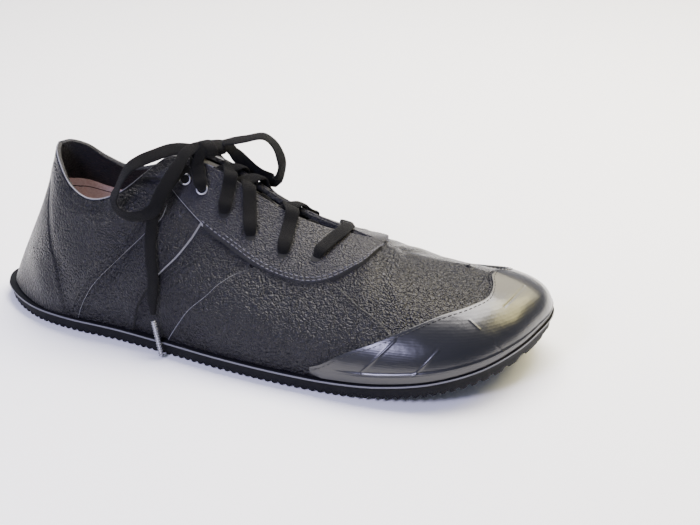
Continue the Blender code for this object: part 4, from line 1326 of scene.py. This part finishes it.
LOOSE_END = (
    # share, rib, distance
    (0.368, 0.955, 0.0040),
    (0.362, 0.910, 0.0046),
    (0.354, 0.850, 0.0050),
    (0.346, 0.790, 0.0042),
    (0.338, 0.720, 0.0037),
    (0.339, 0.640, 0.0035),
    (0.343, 0.550, 0.0030),
    (0.350, 0.450, 0.0027),
    (0.357, 0.350, 0.0026),
    (0.363, 0.240, 0.0030),
    (0.368, 0.165, 0.0038),
)
AGLET_TOP = (0.3705, 0.135, 0.0048)
AGLET_FOOT = (0.381, 0.0031, 0.0016)
AGLET_RADIUS = 0.00115
AGLET_CRIMP = 0.00022
AGLET_RINGS = 14
RING_STEPS = 6
# Tinned steel, crimped: a soft metal gleam, broken up by the small rings.
TIN = new_material("crimped_tin_tip", "#8f8f94", 0.35, Metallic=0.9)[0]
KNOT_TUCK = (
    # along the knot, sideways and upwards from its middle
    (-0.0020, 0.0030, 0.0026),
    (-0.0048, 0.0036, 0.0000),
    (-0.0066, 0.0034, -0.0034),
    (-0.0080, 0.0030, -0.0070),
)
LOOP_OUTER_FLATS = (
    # share of the loop, flat side's direction
    (0.00, 0.15, -0.60, 0.78),
    (0.22, 0.05, -0.75, 0.65),
    (0.42, -0.60, -0.62, 0.40),
    (0.52, -0.45, -0.85, -0.20),
    (0.64, -0.05, -0.85, -0.50),
    (0.76, 0.30, -0.90, 0.20),
    (1.00, 0.25, -0.75, 0.60),
)
LOOP_INNER_FLATS = (
    # share of the loop, flat side's direction
    (0.00, 0.10, -0.30, 0.95),
    (0.30, 0.15, -0.20, 0.95),
    (0.42, 0.70, -0.25, 0.65),
    (0.60, 0.85, -0.35, 0.30),
    (0.75, 0.40, -0.80, -0.30),
    (1.00, 0.30, -0.60, 0.75),
)


def shoe_points(rows):
    """Rows of shares as points in the part's frame."""
    return np.asarray(rows) * np.array([LENGTH, BALL_WIDTH, COLLAR_HEIGHT]) - ORIGIN


def make_loop(name, rows, flat_rows, node):
    """A loop of the bow, narrowed where both of its ends go into the knot."""
    line = smooth_line(shoe_points(rows), 0.0016)
    t = np.linspace(0, 1, len(line))
    narrowing = 1.0 - 0.30 * np.exp(-((t / 0.05) ** 2)) - 0.30 * np.exp(-(((1 - t) / 0.05) ** 2))
    made = lace_piece(name, [(line, table(flat_rows, t), LACE_WIDTH * narrowing)], [node])


def make_knot():
    """A soft core of folded tape, with one turn of tape drawn tight round it and a tuck beside it."""
    ends = shoe_points(KNOT_LINE)
    along = (ends[-1] - ends[0]) / np.linalg.norm(ends[-1] - ends[0])
    centre = ends[1] + np.array([0.0, 0.0, -0.0016])
    sideways = np.cross(along, (0.0, 0.0, 1.0))
    upright = np.cross(sideways, along)
    runs = []
    for shift, drop, reach, wide in ((0.0, 0.0008, 0.0085, 0.0074), (0.0012, -0.0012, 0.0075, 0.0066)):
        t = np.linspace(-1.0, 1.0, 18)
        core = centre + along * (t * reach)[:, None] - upright * (drop + 0.0010 * t * t)[:, None]
        bulge = wide * (1.0 - 0.30 * np.abs(t) ** 3)
        flats = np.tile(sideways * 0.6 + upright * 0.8, (len(t), 1))
        runs.append((core + sideways * shift, flats, bulge, 0.0026))
    angles = np.linspace(-0.6 * math.pi, 1.35 * math.pi, 44)
    skew = np.linspace(-0.0022, 0.0020, len(angles))[:, None] * along
    radial = np.cos(angles)[:, None] * upright * 0.0036 + np.sin(angles)[:, None] * sideways * 0.0042
    width = LACE_WIDTH * (0.92 - 0.25 * np.abs(np.linspace(-1, 1, len(angles))) ** 3)
    runs.append((centre + radial + skew, radial, width, 0.0014))
    tuck = smooth_line([centre + along * a + sideways * b + upright * c for a, b, c in KNOT_TUCK], 0.0008)
    beside = np.tile(sideways + 0.3 * upright, (len(tuck), 1))
    runs.append((tuck, beside, np.full(len(tuck), LACE_WIDTH * 0.8), 0.0013))
    for rows in LOOP_JOINTS:
        joint = smooth_line(shoe_points(rows), 0.0008)
        flats = np.tile((0.28, -0.65, 0.70), (len(joint), 1))
        runs.append((joint, flats, np.full(len(joint), LACE_WIDTH * 0.85)))
    return lace_piece("bow_knot", runs, ["lace_knot"])


def make_aglet(side, label):
    """A crimped tip: a thin metal tube pressed in small rings."""
    share, beyond, height = AGLET_FOOT
    foot = np.array([*edge_at(side, share, -beyond)[0][0], height]) - ORIGIN
    top = skin(side, *AGLET_TOP)[0]
    length = np.linalg.norm(foot - top)
    steps = AGLET_RINGS * RING_STEPS
    outline = [(0.0, 0.0)]
    for i in range(steps + 1):
        radius = AGLET_RADIUS + AGLET_CRIMP * math.cos(2 * math.pi * i / RING_STEPS)
        outline.append((radius, i / steps * length))
    outline.append((0.0, length))
    points, faces = lathe((top, *across_axis((foot - top) / length)), outline, 14)
    made = add_piece(f"crimped_tip_{label}", points, faces, [TIN],
                     replaces=[f"aglet_{label}"])
    return normals_out(made)


def make_loose_end(side, label):
    """An end that hangs over the facing and the quarter to its tip, narrowed into it."""
    tip = make_aglet(side, label)
    route = [skin(side, share, rib, distance)[0] for share, rib, distance in LOOSE_END]
    flats = [upper_normal(side, share, rib)[0] for share, rib, _ in LOOSE_END]
    line, flats = smooth_line(route, 0.0020, flats)
    t = np.linspace(0, 1, len(line))
    widths = LACE_WIDTH * (0.92 - 0.50 * np.clip((t - 0.90) / 0.10, 0, 1))
    made = lace_piece(f"loose_end_{label}", [(line, flats, widths)], [f"lace_end_{label}"])


knot = make_knot()
make_loop("bow_loop_outer", LOOP_OUTER, LOOP_OUTER_FLATS, "lace_loop_outer")
make_loop("bow_loop_inner", LOOP_INNER, LOOP_INNER_FLATS, "lace_loop_inner")
for side, label in SIDES:
    make_loose_end(side, label)

# The stitching: bonded polyester thread, black and slightly greyed, in lock stitch about 2.6 mm
# long, sunk into the leather along the panels' edges.
# Bonded polyester thread: fine and slightly glossy, greyed by wear where it stands proud.
PALE_THREAD = new_material("worn_polyester_thread", "#4c4c56", 0.4)[0]
DARK_THREAD = new_material("black_polyester_thread", "#101013", 0.5)[0]
STITCH_PITCH = 0.0026
STITCH_LENGTH = 0.0019
STITCH_THICKNESS = 0.00045
# How far the middle of a stitch lies over the leather.
PROUD = 0.0001


def stitch_tree():
    """Geometry Nodes that lay a stitch at even steps along every line of a piece."""
    tree = bpy.data.node_groups.new("stitches", "GeometryNodeTree")
    tree.interface.new_socket("Lines", in_out="INPUT", socket_type="NodeSocketGeometry")
    sizes = (("Pitch", STITCH_PITCH), ("Length", STITCH_LENGTH), ("Thickness", STITCH_THICKNESS))
    for socket, value in sizes:
        made = tree.interface.new_socket(socket, in_out="INPUT", socket_type="NodeSocketFloat")
        made.default_value = value
    tree.interface.new_socket("Thread", in_out="INPUT", socket_type="NodeSocketMaterial")
    tree.interface.new_socket("Stitches", in_out="OUTPUT", socket_type="NodeSocketGeometry")
    given = add_node(tree, "NodeGroupInput").outputs
    curve = add_node(tree, "GeometryNodeMeshToCurve", links={"Mesh": given["Lines"]})
    steps = add_node(tree, "GeometryNodeResampleCurve", {"mode": "LENGTH"},
                     {"Curve": curve.outputs[0], "Length": given["Pitch"]})
    tangent = add_node(tree, "GeometryNodeInputTangent")
    turn = add_node(tree, "FunctionNodeAlignRotationToVector", {"axis": "Z"}, {"Vector": tangent.outputs[0]})
    ball = add_node(tree, "GeometryNodeMeshUVSphere", {"Segments": 6, "Rings": 5, "Radius": 0.5})
    size = add_node(tree, "ShaderNodeCombineXYZ",
                    links={"X": given["Thickness"], "Y": given["Thickness"], "Z": given["Length"]})
    points = add_node(tree, "GeometryNodeInstanceOnPoints",
                      links={"Points": steps.outputs[0], "Instance": ball.outputs[0],
                             "Rotation": turn.outputs[0], "Scale": size.outputs[0]})
    real = add_node(tree, "GeometryNodeRealizeInstances", links={0: points.outputs[0]})
    smooth = add_node(tree, "GeometryNodeSetShadeSmooth", links={0: real.outputs[0]})
    dyed = add_node(tree, "GeometryNodeSetMaterial",
                    links={"Geometry": smooth.outputs[0], "Material": given["Thread"]})
    add_node(tree, "NodeGroupOutput", links={"Stitches": dyed.outputs[0]})
    return tree


STITCHES = stitch_tree()


def facing_lines():
    """The double row round the eyestay."""
    rows = []
    for side in (-1, 1):
        for first, inset in ((0.408, 0.009), (0.450, 0.029)):
            share = np.linspace(first, 0.690, 160)
            edge = follow(EYESTAY_EDGE)(share)
            rows.append(skin(side, share, np.minimum(edge + inset, 0.985), EYESTAY_LIFT + PROUD))
    return rows


def panel_lines():
    """The rows along the other panels, the heel's seam and the toe cap."""
    rows = []
    seam = np.array(HEEL_SEAM)[::-1]
    for side in (-1, 1):
        rib = np.linspace(0.03, 0.74, 90)
        for back in (0.0045, 0.0130):
            rows.append(skin(side, follow(QUARTER_FRONT)(rib) - back, rib, QUARTER_LIFT + PROUD))
        share = np.linspace(0.075, 0.300, 120)
        rows.append(skin(side, share, follow(QUARTER_TOP)(share) - 0.065, QUARTER_LIFT * 0.75))
        rib = np.linspace(0.05, 0.74, 60)
        rows.append(skin(side, np.interp(rib, seam[:, 1], seam[:, 0]) + 0.006, rib, QUARTER_LIFT))
        rib = np.linspace(0.70, 0.86, 16)
        rows.append(skin(side, 0.628, rib, EYESTAY_LIFT + PROUD))
        rib = np.linspace(0.28, 0.57, 30)
        for shift in (0.003, 0.011):
            rows.append(skin(side, follow(SIDE_FRONT)(rib) - shift, rib, SIDE_LIFT + PROUD))
        share = np.linspace(0.372, 0.440, 30)
        for shift in (0.0, 0.035):
            rows.append(skin(side, share, 0.39 + (share - 0.370) / 0.070 * 0.25 - shift, 0.0002))
        share = np.linspace(0.615, 1.0, 150)
        cap = table(CAP_EDGE, share)[:, 0 if side < 0 else 1]
        rows.append(skin(side, share, cap - 0.022, CAP_LIFT + PROUD))
    return rows


def make_stitches(name, rows, thread):
    """Rows of stitches as one plain mesh."""
    points, edges = [], []
    for row in rows:
        edges += [(i, i + 1) for i in range(len(points), len(points) + len(row) - 1)]
        points += row.tolist()
    mesh = bpy.data.meshes.new("seam_lines")
    mesh.from_pydata(points, edges, [])
    lines = bpy.data.objects.new("seam_lines", mesh)
    bpy.context.scene.collection.objects.link(lines)
    modifier = lines.modifiers.new("stitches", "NODES")
    modifier.node_group = STITCHES
    thread_socket = next(s.identifier for s in STITCHES.interface.items_tree if s.name == "Thread")
    modifier[thread_socket] = thread
    result = bpy.data.meshes.new_from_object(lines.evaluated_get(bpy.context.evaluated_depsgraph_get()))
    bpy.data.objects.remove(lines, do_unlink=True)
    made = bpy.data.objects.new(name, result)
    bpy.context.scene.collection.objects.link(made)
    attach(made, "root")
    return made


make_stitches("eyestay_stitches", facing_lines(), PALE_THREAD)
make_stitches("panel_stitches", panel_lines(), DARK_THREAD)
